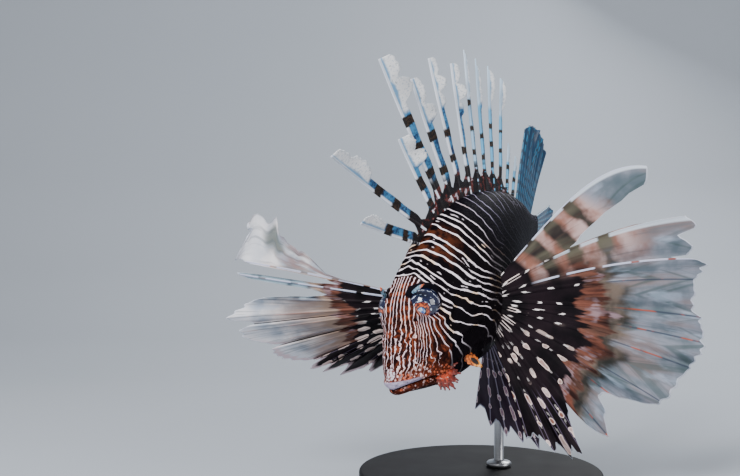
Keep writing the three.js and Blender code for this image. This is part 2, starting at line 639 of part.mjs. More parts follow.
// Display stand: a round base with a soft edge, and a rod on a foot up to the belly
function turned(profile, x, y, around) {
  return solid(loft(profile.map(([radius, z]) => {
    const ring = [];
    for (let i = 0; i < around; i += 1) {
      const a = (2 * Math.PI * i) / around;
      ring.push(new THREE.Vector3(x + radius * Math.cos(a), y + radius * Math.sin(a), z));
    }
    return ring;
  })));
}
const baseProfile = [
  [BASE_RADIUS - 1, 0],
  [BASE_RADIUS, 1],
  [BASE_RADIUS, BASE_HEIGHT - BASE_EDGE],
  [BASE_RADIUS - BASE_EDGE, BASE_HEIGHT],
];
add('stand_base', turned(baseProfile, 0, 0, 48), 0x2b2b2e, 0.4);
const rodTop = place(ROD_STATION, 0, 0);
const rodProfile = [
  [FOOT_RADIUS, BASE_HEIGHT + GAP],
  [FOOT_RADIUS, BASE_HEIGHT + FOOT_HEIGHT],
  [ROD_RADIUS, BASE_HEIGHT + FOOT_HEIGHT + 2],
  [ROD_RADIUS, rodTop.z],
];
const rodFoot = place(ROD_STATION, 0, belly(ROD_STATION));
const rod = turned(rodProfile, rodFoot.x, rodFoot.y, 20).subtract(grownBody);
add('stand_rod', rod, 0xb8babd, 0.3, 0.9);

export default group;
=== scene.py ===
import bpy
import numpy as np
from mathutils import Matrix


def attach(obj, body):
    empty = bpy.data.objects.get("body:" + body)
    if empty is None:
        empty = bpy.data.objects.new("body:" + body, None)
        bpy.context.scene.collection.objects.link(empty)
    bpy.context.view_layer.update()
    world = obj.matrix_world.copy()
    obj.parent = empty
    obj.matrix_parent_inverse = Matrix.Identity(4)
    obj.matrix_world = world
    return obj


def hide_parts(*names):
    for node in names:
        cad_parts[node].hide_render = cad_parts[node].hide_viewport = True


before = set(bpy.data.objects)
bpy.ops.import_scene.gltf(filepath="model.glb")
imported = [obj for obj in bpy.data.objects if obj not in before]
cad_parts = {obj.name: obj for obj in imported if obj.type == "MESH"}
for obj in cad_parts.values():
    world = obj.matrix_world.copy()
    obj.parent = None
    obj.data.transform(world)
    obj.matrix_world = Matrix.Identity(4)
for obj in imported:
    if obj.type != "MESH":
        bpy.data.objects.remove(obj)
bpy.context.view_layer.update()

# The view: the camera looks level at the fish from 74 cm away, as wide as the photograph,
# and the fish comes head down towards the viewer's left.
PICTURE_WIDTH = 740
FOCAL_PIXELS = 1016.6
SENSOR_WIDTH = 36
camera = bpy.data.objects.new("camera", bpy.data.cameras.new("camera"))
camera.data.sensor_width = SENSOR_WIDTH
camera.data.lens = FOCAL_PIXELS * SENSOR_WIDTH / PICTURE_WIDTH
camera.location = (-0.080, -0.740, 0.180)
camera.rotation_euler = (np.pi / 2, 0, 0)
bpy.context.scene.collection.objects.link(camera)
bpy.context.scene.camera = camera


# The skin: head, lower jaw, trunk and tail stalk are one skin of small scales over the
# flesh, near black with thin white lines, and redder on the face. In millimetres: s runs
# from the snout to the tail's root, l to the fish's left and u up its back.
STANDARD_LENGTH = 270
SKULL_LENGTH = 85
YAW, YAW_LOST = 37, 17
PITCH, PITCH_LOST, PITCH_EASE = 32, 38, 1.3
ROLL, ROLL_LOST = 10, 17
SHOULDER_STATION = 100
SHOULDER = np.array([-17.0, -33.0, 144.0])
OUTLINE = np.array([
    [-2, -6, -8.8, 1.6], [0, -3.4, -11, 5], [4, 0.5, -14, 8.8], [13, 9.5, -19.5, 14.5],
    [27, 23, -27.5, 19.5], [40, 34, -33.5, 22.5], [54, 40.5, -38.5, 25.5], [68, 44, -42, 28],
    [81, 48, -45, 29.2], [95, 52, -47, 29.2], [108, 54, -47.8, 28.4], [135, 53, -46.5, 24.3],
    [162, 46.5, -41, 19], [189, 36.5, -31.5, 13.5], [216, 25, -21.5, 9.2], [238, 16, -15, 6],
    [254, 13.5, -13, 4.2], [270, 14.5, -14.5, 2.7],
])
MIDDLE_HEIGHT = 0.52
GILL_EDGE = 84
GILL_BOW, GILL_BOW_SPREAD = 12, 28
STALK_END = 265
EYE_STATION, EYE_SIDE, EYE_HEIGHT, EYE_RADIUS = 47, 12.5, 23, 11
MOUTH = np.array([[-6, -6.5], [4, -8.5], [18, -14], [31, -22], [37, -30]])
NOSTRILS = [[24, 14.5, 1.5], [32, 21.5, 1.3]]
KNOB = [3.7, -1.6, 0.1]
# Ridges of the cheek bone: how far down, how they slant, how broad and how high
CHEEK_RIDGES = [[3, 0.06, 2.2, 1.7], [14, 0.1, 2.0, 0.9]]


def along(table, column, x):
    """Smooth curve through columns 0 and `column` of a table: in each span the cubic whose
    slope at a point of the table is that of the chord between its two neighbours."""
    xs, ys = table[:, 0], table[:, column]
    slopes = np.empty(len(xs))
    slopes[1:-1] = (ys[2:] - ys[:-2]) / (xs[2:] - xs[:-2])
    slopes[0] = (ys[1] - ys[0]) / (xs[1] - xs[0])
    slopes[-1] = (ys[-1] - ys[-2]) / (xs[-1] - xs[-2])
    i = np.clip(np.searchsorted(xs, x, side="right") - 1, 0, len(xs) - 2)
    span = xs[i + 1] - xs[i]
    t = np.clip((x - xs[i]) / span, 0, 1)
    first = (1 + 2 * t) * (1 - t) ** 2 * ys[i] + t * (1 - t) ** 2 * span * slopes[i]
    return first + t * t * (3 - 2 * t) * ys[i + 1] + t * t * (t - 1) * span * slopes[i + 1]


def axes_at(s):
    """Forward, left and up at station s: yaw, pitch and roll are those of the head up to the
    skull's end, and from there lose their share towards the tail."""
    t = np.clip((np.asarray(s, float) - SKULL_LENGTH) / (STANDARD_LENGTH - SKULL_LENGTH), 0, 1)
    yaw = np.radians(YAW - YAW_LOST * t)
    pitch = np.radians(PITCH - PITCH_LOST * t**PITCH_EASE)
    roll = np.radians(ROLL - ROLL_LOST * t)[..., None]
    flat = -np.cos(pitch)
    forward = np.stack([np.sin(yaw) * flat, np.cos(yaw) * flat, -np.sin(pitch)], -1)
    level = np.cross([0, 0, 1.0], forward)
    level /= np.linalg.norm(level, axis=-1, keepdims=True)
    upright = np.cross(forward, level)
    left = level * np.cos(roll) + upright * np.sin(roll)
    return forward, left, upright * np.cos(roll) - level * np.sin(roll)


steps = axes_at(np.arange(STANDARD_LENGTH) + 0.5)[0]
centre_line = np.vstack([np.zeros(3), np.cumsum(-steps, axis=0)])
centre_line += SHOULDER - centre_line[SHOULDER_STATION]


def place(s, l, u):
    """Point of the part at s, l, u: the centre line's point at s, then l along the left axis
    and u along the up axis there."""
    s, l, u = (np.asarray(v, float) for v in (s, l, u))
    i = np.clip(np.floor(s).astype(int), 0, STANDARD_LENGTH - 1)
    t = (s - i)[..., None]
    _, left, up = axes_at(s)
    middle = centre_line[i] * (1 - t) + centre_line[i + 1] * t
    return middle + left * l[..., None] + up * u[..., None]


def ramp(x, low, high):
    """0 below low, 1 above high, and the smooth cubic step between."""
    t = np.clip((x - low) / (high - low), 0, 1)
    return t * t * (3 - 2 * t)


def ridge(distance, width, height):
    """A rounded ridge: height times the bell curve of distance over width."""
    return height * np.exp(-((distance / width) ** 2))


def mouth_height(s):
    """Height of the shut mouth's line at station s, held beyond its ends."""
    return along(MOUTH, 1, np.clip(s, MOUTH[0, 0], MOUTH[-1, 0]))


def relief(s, l, u, turn):
    """Height over the plain oval: sums of ridges along the orbit, lips, cheek, preopercle,
    crown, gill edge and the knob of the lip, less the groove of the mouth and the nostrils."""
    side = np.clip((np.abs(l) - 4) / 8, 0, 1)
    height = side * ridge(np.hypot(s - EYE_STATION, u - EYE_HEIGHT) - EYE_RADIUS - 0.6, 2.2, 2.4)
    gape = u - mouth_height(s)
    open_to = ramp(s, 38.5, 34)
    height += open_to * (ridge(np.abs(gape) - 2.9, 1.9, 1.7) - ridge(gape, 0.75, 2.6))
    height += side * ramp(s, 8, 14) * ramp(s, 42, 34) * ridge(gape - 8, 2.4, 1.0)
    saw = 1 + 0.3 * np.sin(s * 1.9)
    cheek = side * ramp(s, 16, 26) * ramp(s, 76, 66) * saw
    for level, slant, breadth, rise in CHEEK_RIDGES:
        height += cheek * ridge(u + level + slant * s, breadth, rise)
    preopercle = side * ramp(u, 14, 6) * ramp(u, -40, -30) * (1 + 0.3 * np.sin(u * 1.3))
    height += preopercle * ridge(s - 68 - ridge(u + 6, 14, 5), 2.2, 1.6)
    crown = ramp(u, 18, 22) * ramp(s, 22, 30) * ramp(s, 82, 70) * saw
    height += crown * ridge(np.abs(l) - 7.5, 2.0, 1.3)
    cover = ramp(np.abs(turn), 0.75, 1.05) * ramp(np.abs(turn), 2.6, 2.2)
    cover = cover * ramp(s, GILL_EDGE - 16, GILL_EDGE) * ramp(s, GILL_EDGE + 1.6, GILL_EDGE + 0.4)
    height += 1.7 * cover
    height += ridge(np.hypot(np.hypot(s - KNOB[0], l - KNOB[1]), u - KNOB[2]), 3.4, 1.5)
    for station, rise, radius in NOSTRILS:
        reach = np.hypot(s - station, u - rise)
        height += side * (ridge(reach - 1.9, 0.8, 0.9) - ridge(reach, radius * 0.75, 2.0))
    return height


def surface_under(s, turn):
    """Plain oval of the body: s bows back at the sides by the gill cover's curve, l is the
    half width times sin(turn), u the middle height plus the upper or lower half times cos."""
    station = s + np.sin(turn) ** 2 * ridge(s - GILL_EDGE, GILL_BOW_SPREAD, GILL_BOW)
    width, top, bottom = (along(OUTLINE, column, station) for column in (3, 1, 2))
    middle = bottom + MIDDLE_HEIGHT * (top - bottom)
    half = np.where(np.cos(turn) > 0, top - middle, middle - bottom)
    return station, width * np.sin(turn), middle + half * np.cos(turn), width, half


def shape(name, instead_of, slot, paint, points, faces, marks):
    """Mesh object from points in millimetres and faces by index, with one number per point
    for each mark. It rides on the part in place of some nodes and has a paint; its slot is not
    used."""
    mesh = bpy.data.meshes.new(name)
    mesh.from_pydata((np.asarray(points) * 0.001).tolist(), [], faces)
    mesh.update()
    mesh.polygons.foreach_set("use_smooth", np.ones(len(mesh.polygons), bool))
    for label, values in marks.items():
        layer = mesh.attributes.new(label, "FLOAT", "POINT")
        layer.data.foreach_set("value", np.asarray(values, np.float32).ravel())
    piece = bpy.data.objects.new(name, mesh)
    bpy.context.scene.collection.objects.link(piece)
    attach(piece, "root")
    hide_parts(*instead_of)
    mesh.materials.append(paint.material)


def closed_tube(count, around):
    """Faces of count rings of `around` points, joined ring to ring and round, with a fan to
    one more point at either end: points are the rings, then the first hub, then the last."""
    ring = np.arange(around)
    beside = (ring + 1) % around
    this = (np.arange(count - 1) * around)[:, None]
    after = this + around
    quads = np.stack([this + ring, this + beside, after + beside, after + ring], -1)
    hub = count * around
    last = (count - 1) * around
    caps = np.stack([np.full(around, hub), beside, ring], -1).tolist()
    caps += np.stack([np.full(around, hub + 1), last + ring, last + beside], -1).tolist()
    return quads.reshape(-1, 4).tolist() + caps


def turned_right(points, faces):
    """The faces, turned over if the volume that they enclose comes out negative."""
    corners = points[np.array([face[:3] for face in faces])]
    volume = np.einsum("ij,ij->i", corners[:, 0], np.cross(corners[:, 1], corners[:, 2])).sum()
    return faces if volume > 0 else [face[::-1] for face in faces]


# Rings of points along the body, close together on the head. Round a ring the points crowd
# at the lips, whose turn is found from the mouth's height.
HEAD_RINGS, BODY_RINGS, AROUND = 230, 150, 252
FIRST_RING, HEAD_END = -1.9, 92
LIP_TURN, LIP_CROWDING, LIP_SPREAD = 1.2, 2.2, 0.3
stations = np.concatenate([
    np.linspace(FIRST_RING, HEAD_END, HEAD_RINGS, endpoint=False),
    np.linspace(HEAD_END, STALK_END, BODY_RINGS)])
_, _, lip_height, _, lip_half = surface_under(stations, np.full(len(stations), LIP_TURN))
lip_cos = (mouth_height(stations) - lip_height) / lip_half + np.cos(LIP_TURN)
lip_angle = np.arccos(np.clip(lip_cos, -0.98, 0.6))
fine = np.linspace(0, np.pi, 1441)
crowd = ridge(fine - lip_angle[:, None], LIP_SPREAD, LIP_CROWDING)
crowd = np.cumsum(1 + crowd * ramp(stations, 60, 36)[:, None], axis=1)
crowd = (crowd - crowd[:, :1]) / (crowd[:, -1:] - crowd[:, :1])
half_turns = np.array([np.interp(np.linspace(0, 1, AROUND // 2 + 1), row, fine) for row in crowd])
turns = np.concatenate([half_turns, -half_turns[:, -2:0:-1]], axis=1)
rings = np.repeat(stations[:, None], AROUND, axis=1)
s, l, u, width, half = surface_under(rings, turns)
slope = np.stack([np.sin(turns) * half, np.cos(turns) * width])
slope /= np.linalg.norm(slope, axis=0)
raised = relief(s, l, u, turns)
body_points = place(s, l + slope[0] * raised, u + slope[1] * raised).reshape(-1, 3)
hubs = np.stack([place(-2.4, 0, -7.5), place(STALK_END + 0.5, 0, 0)])
body_points = np.vstack([body_points, hubs])

# Where the pale lines run: the number of a line, then its stations at these turns from the
# back over the side to the belly. Numbers skip where finer lines run between two rows. On
# the brow the lines run forward to the lip instead, across the turn.
LINE_TURNS = [0, 20, 40, 60, 75, 90, 105, 120, 150, 180]
LINES = np.array([
    [-4, 16, 16, 24, 8, -8, -20, -30, -36, -44, -48],
    [0, 30, 30, 32, 21.5, 11.5, 3, -4, -10, -18, -22],
    [2, 35, 35, 36, 28, 20.5, 13, 6, 0, -7, -10],
    [4, 39, 39, 38.5, 34, 29, 24, 19, 14, 6, 3],
    [6, 43, 43, 42, 38.5, 37, 37, 37.5, 38, 34, 31],
    [8, 48, 48, 46, 46, 45, 46.5, 48.5, 56, 60, 60],
    [9, 52, 52, 50, 49.5, 50.5, 53, 66, 75, 82, 84],
    [10, 57, 57, 54.5, 55.5, 57, 64, 77, 86, 95, 97],
    [11, 64, 61, 58.5, 60, 67, 73.5, 87, 96, 106, 109],
    [12, 69.5, 66, 64.5, 67, 74, 83, 96, 104, 115, 118],
    [13, 73.5, 73, 72.5, 74, 78.5, 89, 103, 112, 123, 127],
    [14, 77.5, 78.5, 79, 80, 84, 95, 109, 119, 131, 135],
    [15, 84, 85.5, 84.5, 85, 88.5, 101, 115, 125, 138, 142],
    [16, 92, 90, 90, 90, 94, 106, 120, 131, 145, 149],
    [17, 100, 98, 98, 99, 103, 112, 125, 137, 152, 156],
    [18, 106.5, 104, 103.5, 104.5, 108.5, 118, 131, 143, 159, 163],
    [19, 111.5, 109, 109, 111, 115, 124, 137, 149, 166, 170],
    [20, 119, 116, 117, 118, 121, 130, 143, 155, 172, 176],
    [30, 204, 202, 204, 208, 213, 222, 233, 240, 248, 250],
    [40, 292, 290, 292, 296, 300, 306, 312, 316, 320, 322],
])
BROW_LINES = 5
turn_degrees = np.degrees(np.abs(turns))
crossings = np.stack([
    along(np.column_stack([LINE_TURNS, row[1:]]), 1, turn_degrees) for row in LINES], axis=-1)
k = np.clip((crossings <= s[..., None]).sum(axis=-1) - 1, 0, len(LINES) - 2)[..., None]
ahead = np.take_along_axis(crossings, k, -1)[..., 0]
line_gap = np.take_along_axis(crossings, k + 1, -1)[..., 0] - ahead
k = k[..., 0]
line_gap = line_gap / (LINES[k + 1, 0] - LINES[k, 0])
line_number = LINES[k, 0] + (s - ahead) / line_gap
brow_edge = np.interp(s, [-2, 5, 12, 20, 33, 50], [110, 92, 76, 60, 40, 28])
on_brow = ramp(s, 57, 54) * ramp(brow_edge - turn_degrees, -1, 1)
brow_number = BROW_LINES * turn_degrees / brow_edge + 0.5
brow_gap = np.radians(brow_edge / BROW_LINES) * (width + half) / 2
# Past this turn from the back, which changes along the body, the pale lines fade out: painted shade
# over the far side of the flank.
shade_edge = np.interp(s, [80, 95, 105, 118, 150, 200, 260], [112, 92, 76, 60, 50, 46, 60])
lit_flank = ramp(shade_edge - turn_degrees, -10, 10)
russet = ramp(s, 72, 80) * ramp(s, 104, 92) * ramp(turn_degrees, 64, 24)
face_edge = np.interp(turn_degrees, [0, 40, 60, 92, 112, 140, 180], [55, 54, 47, 41, 38, 31, 30])
face = ramp(s - face_edge, 2.5, -2)
eye_centre = place(EYE_STATION, EYE_SIDE, EYE_HEIGHT)
eye_ring = np.linalg.norm(place(s, np.abs(l), u) - eye_centre, axis=-1) - EYE_RADIUS
in_front = 0.75 * (s - EYE_STATION) + 0.65 * (u - EYE_HEIGHT)
eye_ring = eye_ring - 1.6 * ramp(u, 27, 34) + 8 * ramp(in_front, 3, -6)
knob = np.linalg.norm(place(s, l, u) - place(*KNOB), axis=-1)


def with_hubs(values):
    """The grid's values, with those of the two end points taken from the rings beside them."""
    return np.concatenate([values.ravel(), [values[0].mean(), values[-1].mean()]])


body_marks = {
    "station": s, "height": u, "girth": turns * (width + half) / 2, "line": line_number,
    "line_gap": line_gap, "brow_line": brow_number, "brow_gap": brow_gap, "on_brow": on_brow,
    "lit_flank": lit_flank, "russet": russet, "eye_ring": eye_ring, "face": face, "knob": knob,
    "gape": np.where(s < 40, u - mouth_height(s), 40),
}
body_marks = {label: with_hubs(values) for label, values in body_marks.items()}


def tint(red, green, blue):
    """Linear colour of a screen colour in 0 to 255."""
    share = np.array([red, green, blue]) / 255
    linear = np.where(share <= 0.04045, share / 12.92, ((share + 0.055) / 1.055) ** 2.4)
    return (*linear.tolist(), 1.0)


class Dye:
    """A number, colour or vector in a material. Sums and products on it add Math nodes."""

    def __init__(self, paint, socket):
        self.paint = paint
        self.socket = socket

    def __add__(self, other):
        return self.paint.math("ADD", self, other)

    def __sub__(self, other):
        return self.paint.math("SUBTRACT", self, other)

    def __rsub__(self, other):
        return self.paint.math("SUBTRACT", other, self)

    def __mul__(self, other):
        return self.paint.math("MULTIPLY", self, other)

    def __truediv__(self, other):
        return self.paint.math("DIVIDE", self, other)

    def __abs__(self):
        return self.paint.math("ABSOLUTE", self)

    def rise(self, low, high):
        """0 at low and 1 at high, smoothly, whichever of them is the larger."""
        settings = {"interpolation_type": "SMOOTHSTEP"}
        return self.paint.node("ShaderNodeMapRange", settings, {0: self, 1: low, 2: high})

    def coat(self, share, over):
        """This colour under another one that covers it by a share from 0 to 1."""
        return self.paint.blend(share, self, over)

    def under(self, *layers):
        """This colour under several, each given as a share and a colour."""
        colour = self
        for share, over in layers:
            colour = colour.coat(share, over)
        return colour

    __radd__ = __add__
    __rmul__ = __mul__


class Paint:
    """A material: its shader, and the nodes that make what changes over the surface."""

    def __init__(self, name, **fixed):
        self.material = bpy.data.materials.new(name)
        self.material.use_nodes = True
        self.tree = self.material.node_tree
        self.shader = self.tree.nodes["Principled BSDF"]
        for socket, value in fixed.items():
            self.shader.inputs[socket.replace("_", " ")].default_value = value

    def node(self, kind, settings, sockets, output=0):
        """A node of a kind, with its settings made first and then its sockets filled."""
        made = self.tree.nodes.new(kind)
        for key, value in settings.items():
            setattr(made, key, value)
        for key, value in sockets.items():
            if isinstance(value, Dye):
                self.tree.links.new(value.socket, made.inputs[key])
            else:
                made.inputs[key].default_value = value
        return Dye(self, made.outputs[output])

    def math(self, operation, *values):
        return self.node("ShaderNodeMath", {"operation": operation}, dict(enumerate(values)))

    def mark(self, label):
        """A number that the mesh carries at each of its points."""
        return self.node("ShaderNodeAttribute", {"attribute_name": label}, {}, 2)

    def marks(self, *labels):
        return [self.mark(label) for label in labels]

    def here(self):
        """The place on the part, in metres."""
        return self.node("ShaderNodeTexCoord", {}, {}, 3)

    def where(self, x, y, z):
        return self.node("ShaderNodeCombineXYZ", {}, {0: x, 1: y, 2: z})

    def noise(self, size, detail, at=None):
        """Noise from 0 to 1 whose patches are about `size` millimetres across, or of that
        size in the coordinates given."""
        scale = 1 / size if at else 1000 / size
        sockets = {"Vector": at or self.here(), "Scale": scale, "Detail": detail}
        return self.node("ShaderNodeTexNoise", {}, sockets)

    def cells(self, at, scale, randomness):
        """Distance from the middle of the nearest of many round cells."""
        sockets = {"Vector": at, "Scale": scale, "Randomness": randomness}
        return self.node("ShaderNodeTexVoronoi", {"feature": "F1"}, sockets)

    def blend(self, share, first, second):
        """Colour from first to second by a share from 0 to 1. A triple is a screen colour."""
        first, second = (tint(*c) if isinstance(c, tuple) else c for c in (first, second))
        return self.node("ShaderNodeMix", {"data_type": "RGBA"}, {0: share, 6: first, 7: second}, 2)

    def wave(self, phase):
        """Distance in turns from the nearest whole number."""
        return abs(self.math("FRACT", phase + 0.5) - 0.5)

    def bump(self, height, depth, beneath=None):
        """Normal that a height from 0 to 1 gives when it stands `depth` millimetres high."""
        sockets = {"Height": height, "Distance": depth / 1000, "Strength": 1.0}
        if beneath is not None:
            sockets["Normal"] = beneath
        return self.node("ShaderNodeBump", {}, sockets)

    def feed(self, **sockets):
        for socket, value in sockets.items():
            self.tree.links.new(value.socket, self.shader.inputs[socket.replace("_", " ")])


hide = Paint("striped_hide", Specular_IOR_Level=0.04)
station, height, gape = hide.marks("station", "height", "gape")
number, on_face, line_gap, brow_gap = hide.marks("line", "face", "line_gap", "brow_gap")
on_brow_mark = hide.mark("on_brow").rise(0.4, 0.6)
muzzle = station.rise(38.0, 20.0)
sway = (hide.noise(16, 2.0) - 0.5) * 1.1
shiver = hide.noise(4.5, 2.0) - 0.5
wobble = sway * (1 - on_face * 0.3) + shiver * (0.1 + on_face * 0.3 + muzzle * 1.5)
away = hide.wave(number + wobble) * line_gap
brow_away = hide.wave(hide.mark("brow_line") + wobble) * brow_gap
away = away + (brow_away - away) * on_brow_mark
gap = line_gap + (brow_gap - line_gap) * on_brow_mark
thick = hide.noise(7, 1.5)
rear = number.rise(18.5, 22.5)
half_line = (0.24 + thick * 0.8) * (1 - on_face * 0.34) * (1 - rear * 0.5)
half_line = hide.math("MINIMUM", half_line, gap * 0.19)
half_line = half_line * (1 - muzzle * hide.noise(3.2, 1.0).rise(0.43, 0.34))
lines = (away / half_line).rise(1.2, 0.75)
fork = (hide.wave(number + wobble * 1.2 + 0.5) * line_gap / 0.42).rise(1.2, 0.7)
fork = fork * thick.rise(0.63, 0.68) * (1 - on_brow_mark) * (1 - on_face)
lines = hide.math("MAXIMUM", lines, fork * 0.75)
# On the far flank the lines dim to a tenth, as painted shade; where they crowd close together they
# dim too.
lines = lines * (0.1 + 0.9 * hide.mark("lit_flank")) * (0.3 + 0.7 * gap.rise(1.6, 2.9))
tawny = hide.noise(5, 3.0)
warm = hide.blend(tawny.rise(0.38, 0.66), (36, 15, 13), (128, 60, 36))
dark_gap = hide.wave((number + wobble) / 2).rise(0.2, 0.3)
warm = warm.coat(dark_gap * 0.8, (22, 8, 10))
patches = hide.noise(6, 3.0).rise(0.42, 0.62)
dark = hide.blend(hide.mark("russet") * patches, (9, 5, 9), (80, 40, 24))
dark = dark.coat(rear * 0.7, (9, 8, 18))
ground = dark.coat(on_face, warm)
cream = hide.noise(15, 1.0).rise(0.54, 0.64)
pale = hide.blend(cream * 0.85, (250, 236, 244), (252, 214, 178))
pale = pale.coat(on_face * 0.75, (230, 196, 202))
# Towards the rear the pale lines are finer and dim to grey-violet; the dimming is painted shade
# over the rear of the body.
pale = pale.coat(rear * 0.85, (140, 138, 172))
colour = ground.coat(lines, pale)
bead = hide.cells(hide.here(), 470.0, 0.9)
beaded = (abs(gape - 2) + shiver * 4).rise(9.0, 6.0) * station.rise(44.0, 30.0)
colour = colour.coat(beaded * 0.7, hide.blend(tawny, (42, 15, 12), (132, 58, 34)))
bead_skin = hide.blend(tawny.rise(0.46, 0.6), (186, 92, 62), (238, 210, 208))
colour = colour.coat(beaded * bead.rise(0.44, 0.3), bead_skin)
lip = abs(gape - 1.9).rise(2.2, 1.2) * station.rise(13.0, 9.0)
colour = colour.coat(lip, hide.blend(tawny, (112, 98, 120), (206, 194, 220)))
knob = hide.mark("knob") + shiver * 1.2
colour = colour.coat(knob.rise(5.4, 4.7) * 0.9, (58, 22, 26))
knob_skin = hide.blend(bead.rise(0.4, 0.6), (214, 204, 212), (128, 72, 66))
colour = colour.under(
    (knob.rise(4.5, 4.0), knob_skin),
    (abs(gape).rise(0.9, 0.4) * station.rise(38.0, 35.0), (16, 6, 8)),
    # The lower jaw under the mouth, darkened: painted shade.
    (gape.rise(-0.5, -2.5) * 0.6, (34, 14, 13)))
eye_ring = hide.mark("eye_ring") + shiver * 1.5
colour = colour.coat(eye_ring.rise(1.5, 0.7) * (1 - height.rise(22.0, 16.0)), (10, 8, 16))
SCALE_SIZE = 2.1
scales = hide.where(station / SCALE_SIZE, hide.mark("girth") / SCALE_SIZE, 0.0)
scales = hide.cells(scales, 1.0, 0.35)
grain = hide.noise(1.1, 3.0)
rough_face = hide.bump(1 - bead * beaded * 2, 0.35, hide.bump(grain, 0.25))
hide.feed(
    Base_Color=colour,
    Roughness=0.5 + 0.2 * grain,
    Normal=hide.bump(scales, 0.2, hide.bump(lines, 0.15, rough_face)),
)
body_faces = turned_right(body_points, closed_tube(len(stations), AROUND))
flesh_nodes = ("head", "lower_jaw", "trunk", "tail_stalk")
shape("skin", flesh_nodes, "skin", hide, body_points, body_faces, body_marks)


def finer(node, slot, paint, points, faces, marks):
    """The finer piece that stands for one node of the solids."""
    shape(f"{node}_fine", (node,), slot, paint, points, faces, marks)


# The eyes: each a ball under a clear cornea, set in its orbit, with a dark pupil in an
# orange ring and a navy iris that the pale lines of the face cross. In the pupil's middle a
# blue-white reflection is painted.
GAZE_AHEAD, GAZE_ASIDE, GAZE_UP = 0.88, 0.42, 0.1


def ball(centre, radius, pole, rows, around):
    """Points and faces of a ball about a pole axis: radius times cos and sin of the angle
    off the pole, with that angle in degrees as a mark."""
    pole = pole / np.linalg.norm(pole)
    first = np.cross(pole, [0, 0, 1.0])
    first /= np.linalg.norm(first)
    second = np.cross(pole, first)
    off = np.linspace(0, np.pi, rows + 2)[1:-1, None]
    way = np.linspace(0, 2 * np.pi, around, endpoint=False)[None, :]
    flat = np.cos(way)[..., None] * first + np.sin(way)[..., None] * second
    points = centre + radius * (np.cos(off)[..., None] * pole + np.sin(off)[..., None] * flat)
    hubs = np.stack([centre + radius * pole, centre - radius * pole])
    angle = np.concatenate([np.repeat(off, around, axis=1).ravel(), [0, np.pi]])
    points = np.vstack([points.reshape(-1, 3), hubs])
    faces = turned_right(points, closed_tube(rows, around))
    return points, faces, {"off_pupil": np.degrees(angle)}


iris = Paint("eye_glass", Roughness=0.14, Coat_Weight=1.0, Coat_Roughness=0.03)
angle = iris.mark("off_pupil")
streak = iris.noise(2.6, 3.0)
fleck = iris.noise(1.3, 2.0)
navy = iris.blend(streak, (4, 5, 14), (16, 30, 76))
arcs = iris.wave(angle / 23 + streak * 0.9).rise(0.1, 0.05) * streak.rise(0.5, 0.56)
navy = navy.coat(arcs, (206, 216, 232))
ember = iris.blend(fleck.rise(0.42, 0.58), (70, 24, 16), (206, 92, 44))
ring = ember.coat((angle + streak * 34).rise(44.0, 50.0), navy)
# The pupil: a painted blue-white reflection in its middle, dark round it.
pupil_and_glint = iris.blend(fleck.rise(0.4, 0.6), (60, 110, 186), (206, 222, 240))
pupil_and_glint = pupil_and_glint.coat(angle.rise(11.0, 14.0), (6, 8, 16))
iris.feed(Base_Color=ring.coat((angle + streak * 4).rise(20.0, 17.5), pupil_and_glint))
head_forward, head_left, head_up = axes_at(EYE_STATION)
for name, side in (("left", 1), ("right", -1)):
    gaze = GAZE_ASIDE * side * head_left + GAZE_AHEAD * head_forward + GAZE_UP * head_up
    glass = ball(place(EYE_STATION, side * EYE_SIDE, EYE_HEIGHT), EYE_RADIUS, gaze, 48, 64)
    shape(f"eye_{name}_glass", (f"eye_{name}",), "eye", iris, *glass)


# The spiny back fin: thirteen stiff bony spines set along the back. Low down a skin joins
# them, above it each keeps a clear strip behind it, with white scalloped lobes at its end.
SUNK = 6
SPINE_STATIONS = (88, 202)
SPINES = [
    [58, 47], [100, 34], [62, 6], [115, 6], [92, 2], [100, -4], [93, -10],
    [102, -12], [96, -11], [92, -12], [86, -15], [39, -15], [32, -18],
]
SPINE_BEND, SPINE_RADIUS, SPINE_TIP, FLAP_TWIST = -5, 1.25, 0.25, 50
RAY_STEPS, ROD_AROUND = 96, 10
# What a mark says where its line or edge is nowhere near
FAR = 9.0
# Lobes of each spine: where along it, half its length as a share, and its width
LOBES = [
    [[0.86, 0.17, 8]],
    [[0.94, 0.09, 8], [0.79, 0.12, 11]],
    [[0.92, 0.12, 10], [0.74, 0.09, 14.5]],
    [[0.935, 0.085, 11], [0.795, 0.075, 16]],
    [[0.91, 0.1, 7], [0.735, 0.075, 11.5]],
    [[0.94, 0.07, 5.5], [0.83, 0.055, 9], [0.715, 0.055, 5.8]],
    [[0.93, 0.075, 6], [0.795, 0.06, 9.4], [0.67, 0.055, 5.6]],
    [[0.82, 0.16, 2.3]],
    [[0.79, 0.16, 3.2]],
    [[0.85, 0.12, 5.2]],
    [[0.86, 0.13, 4.6]],
    [[0.8, 0.18, 1.8]],
    [[0.8, 0.18, 1.6]],
]
STRIPS = [5.8, 4.8, 4, 6, 5, 3.4, 2.6, 1.3, 1.3, 1.2, 1.2, 1.1, 1.1]
# Dark bands of each spine: where along it and half its length in millimetres
BANDS = [
    [[0.61, 3.2], [0.34, 2.6]], [[0.57, 3.4], [0.39, 3.6], [0.22, 3.4]], [[0.49, 4.6], [0.24, 3.6]],
    [[0.62, 3.4], [0.46, 2.8], [0.29, 3]], [[0.58, 3.6], [0.31, 3]],
    [[0.5, 2.8], [0.33, 2.6], [0.2, 2.6]], [[0.38, 2.8], [0.24, 2.6]],
    [[0.65, 2.2], [0.48, 2], [0.32, 2.4]], [[0.45, 2], [0.3, 2.2]],
    [[0.55, 2], [0.41, 2], [0.26, 2.2]], [[0.56, 2], [0.4, 2], [0.25, 2.2]],
    [[0.59, 1.8], [0.34, 1.8]], [[0.5, 1.8], [0.25, 1.8]],
]


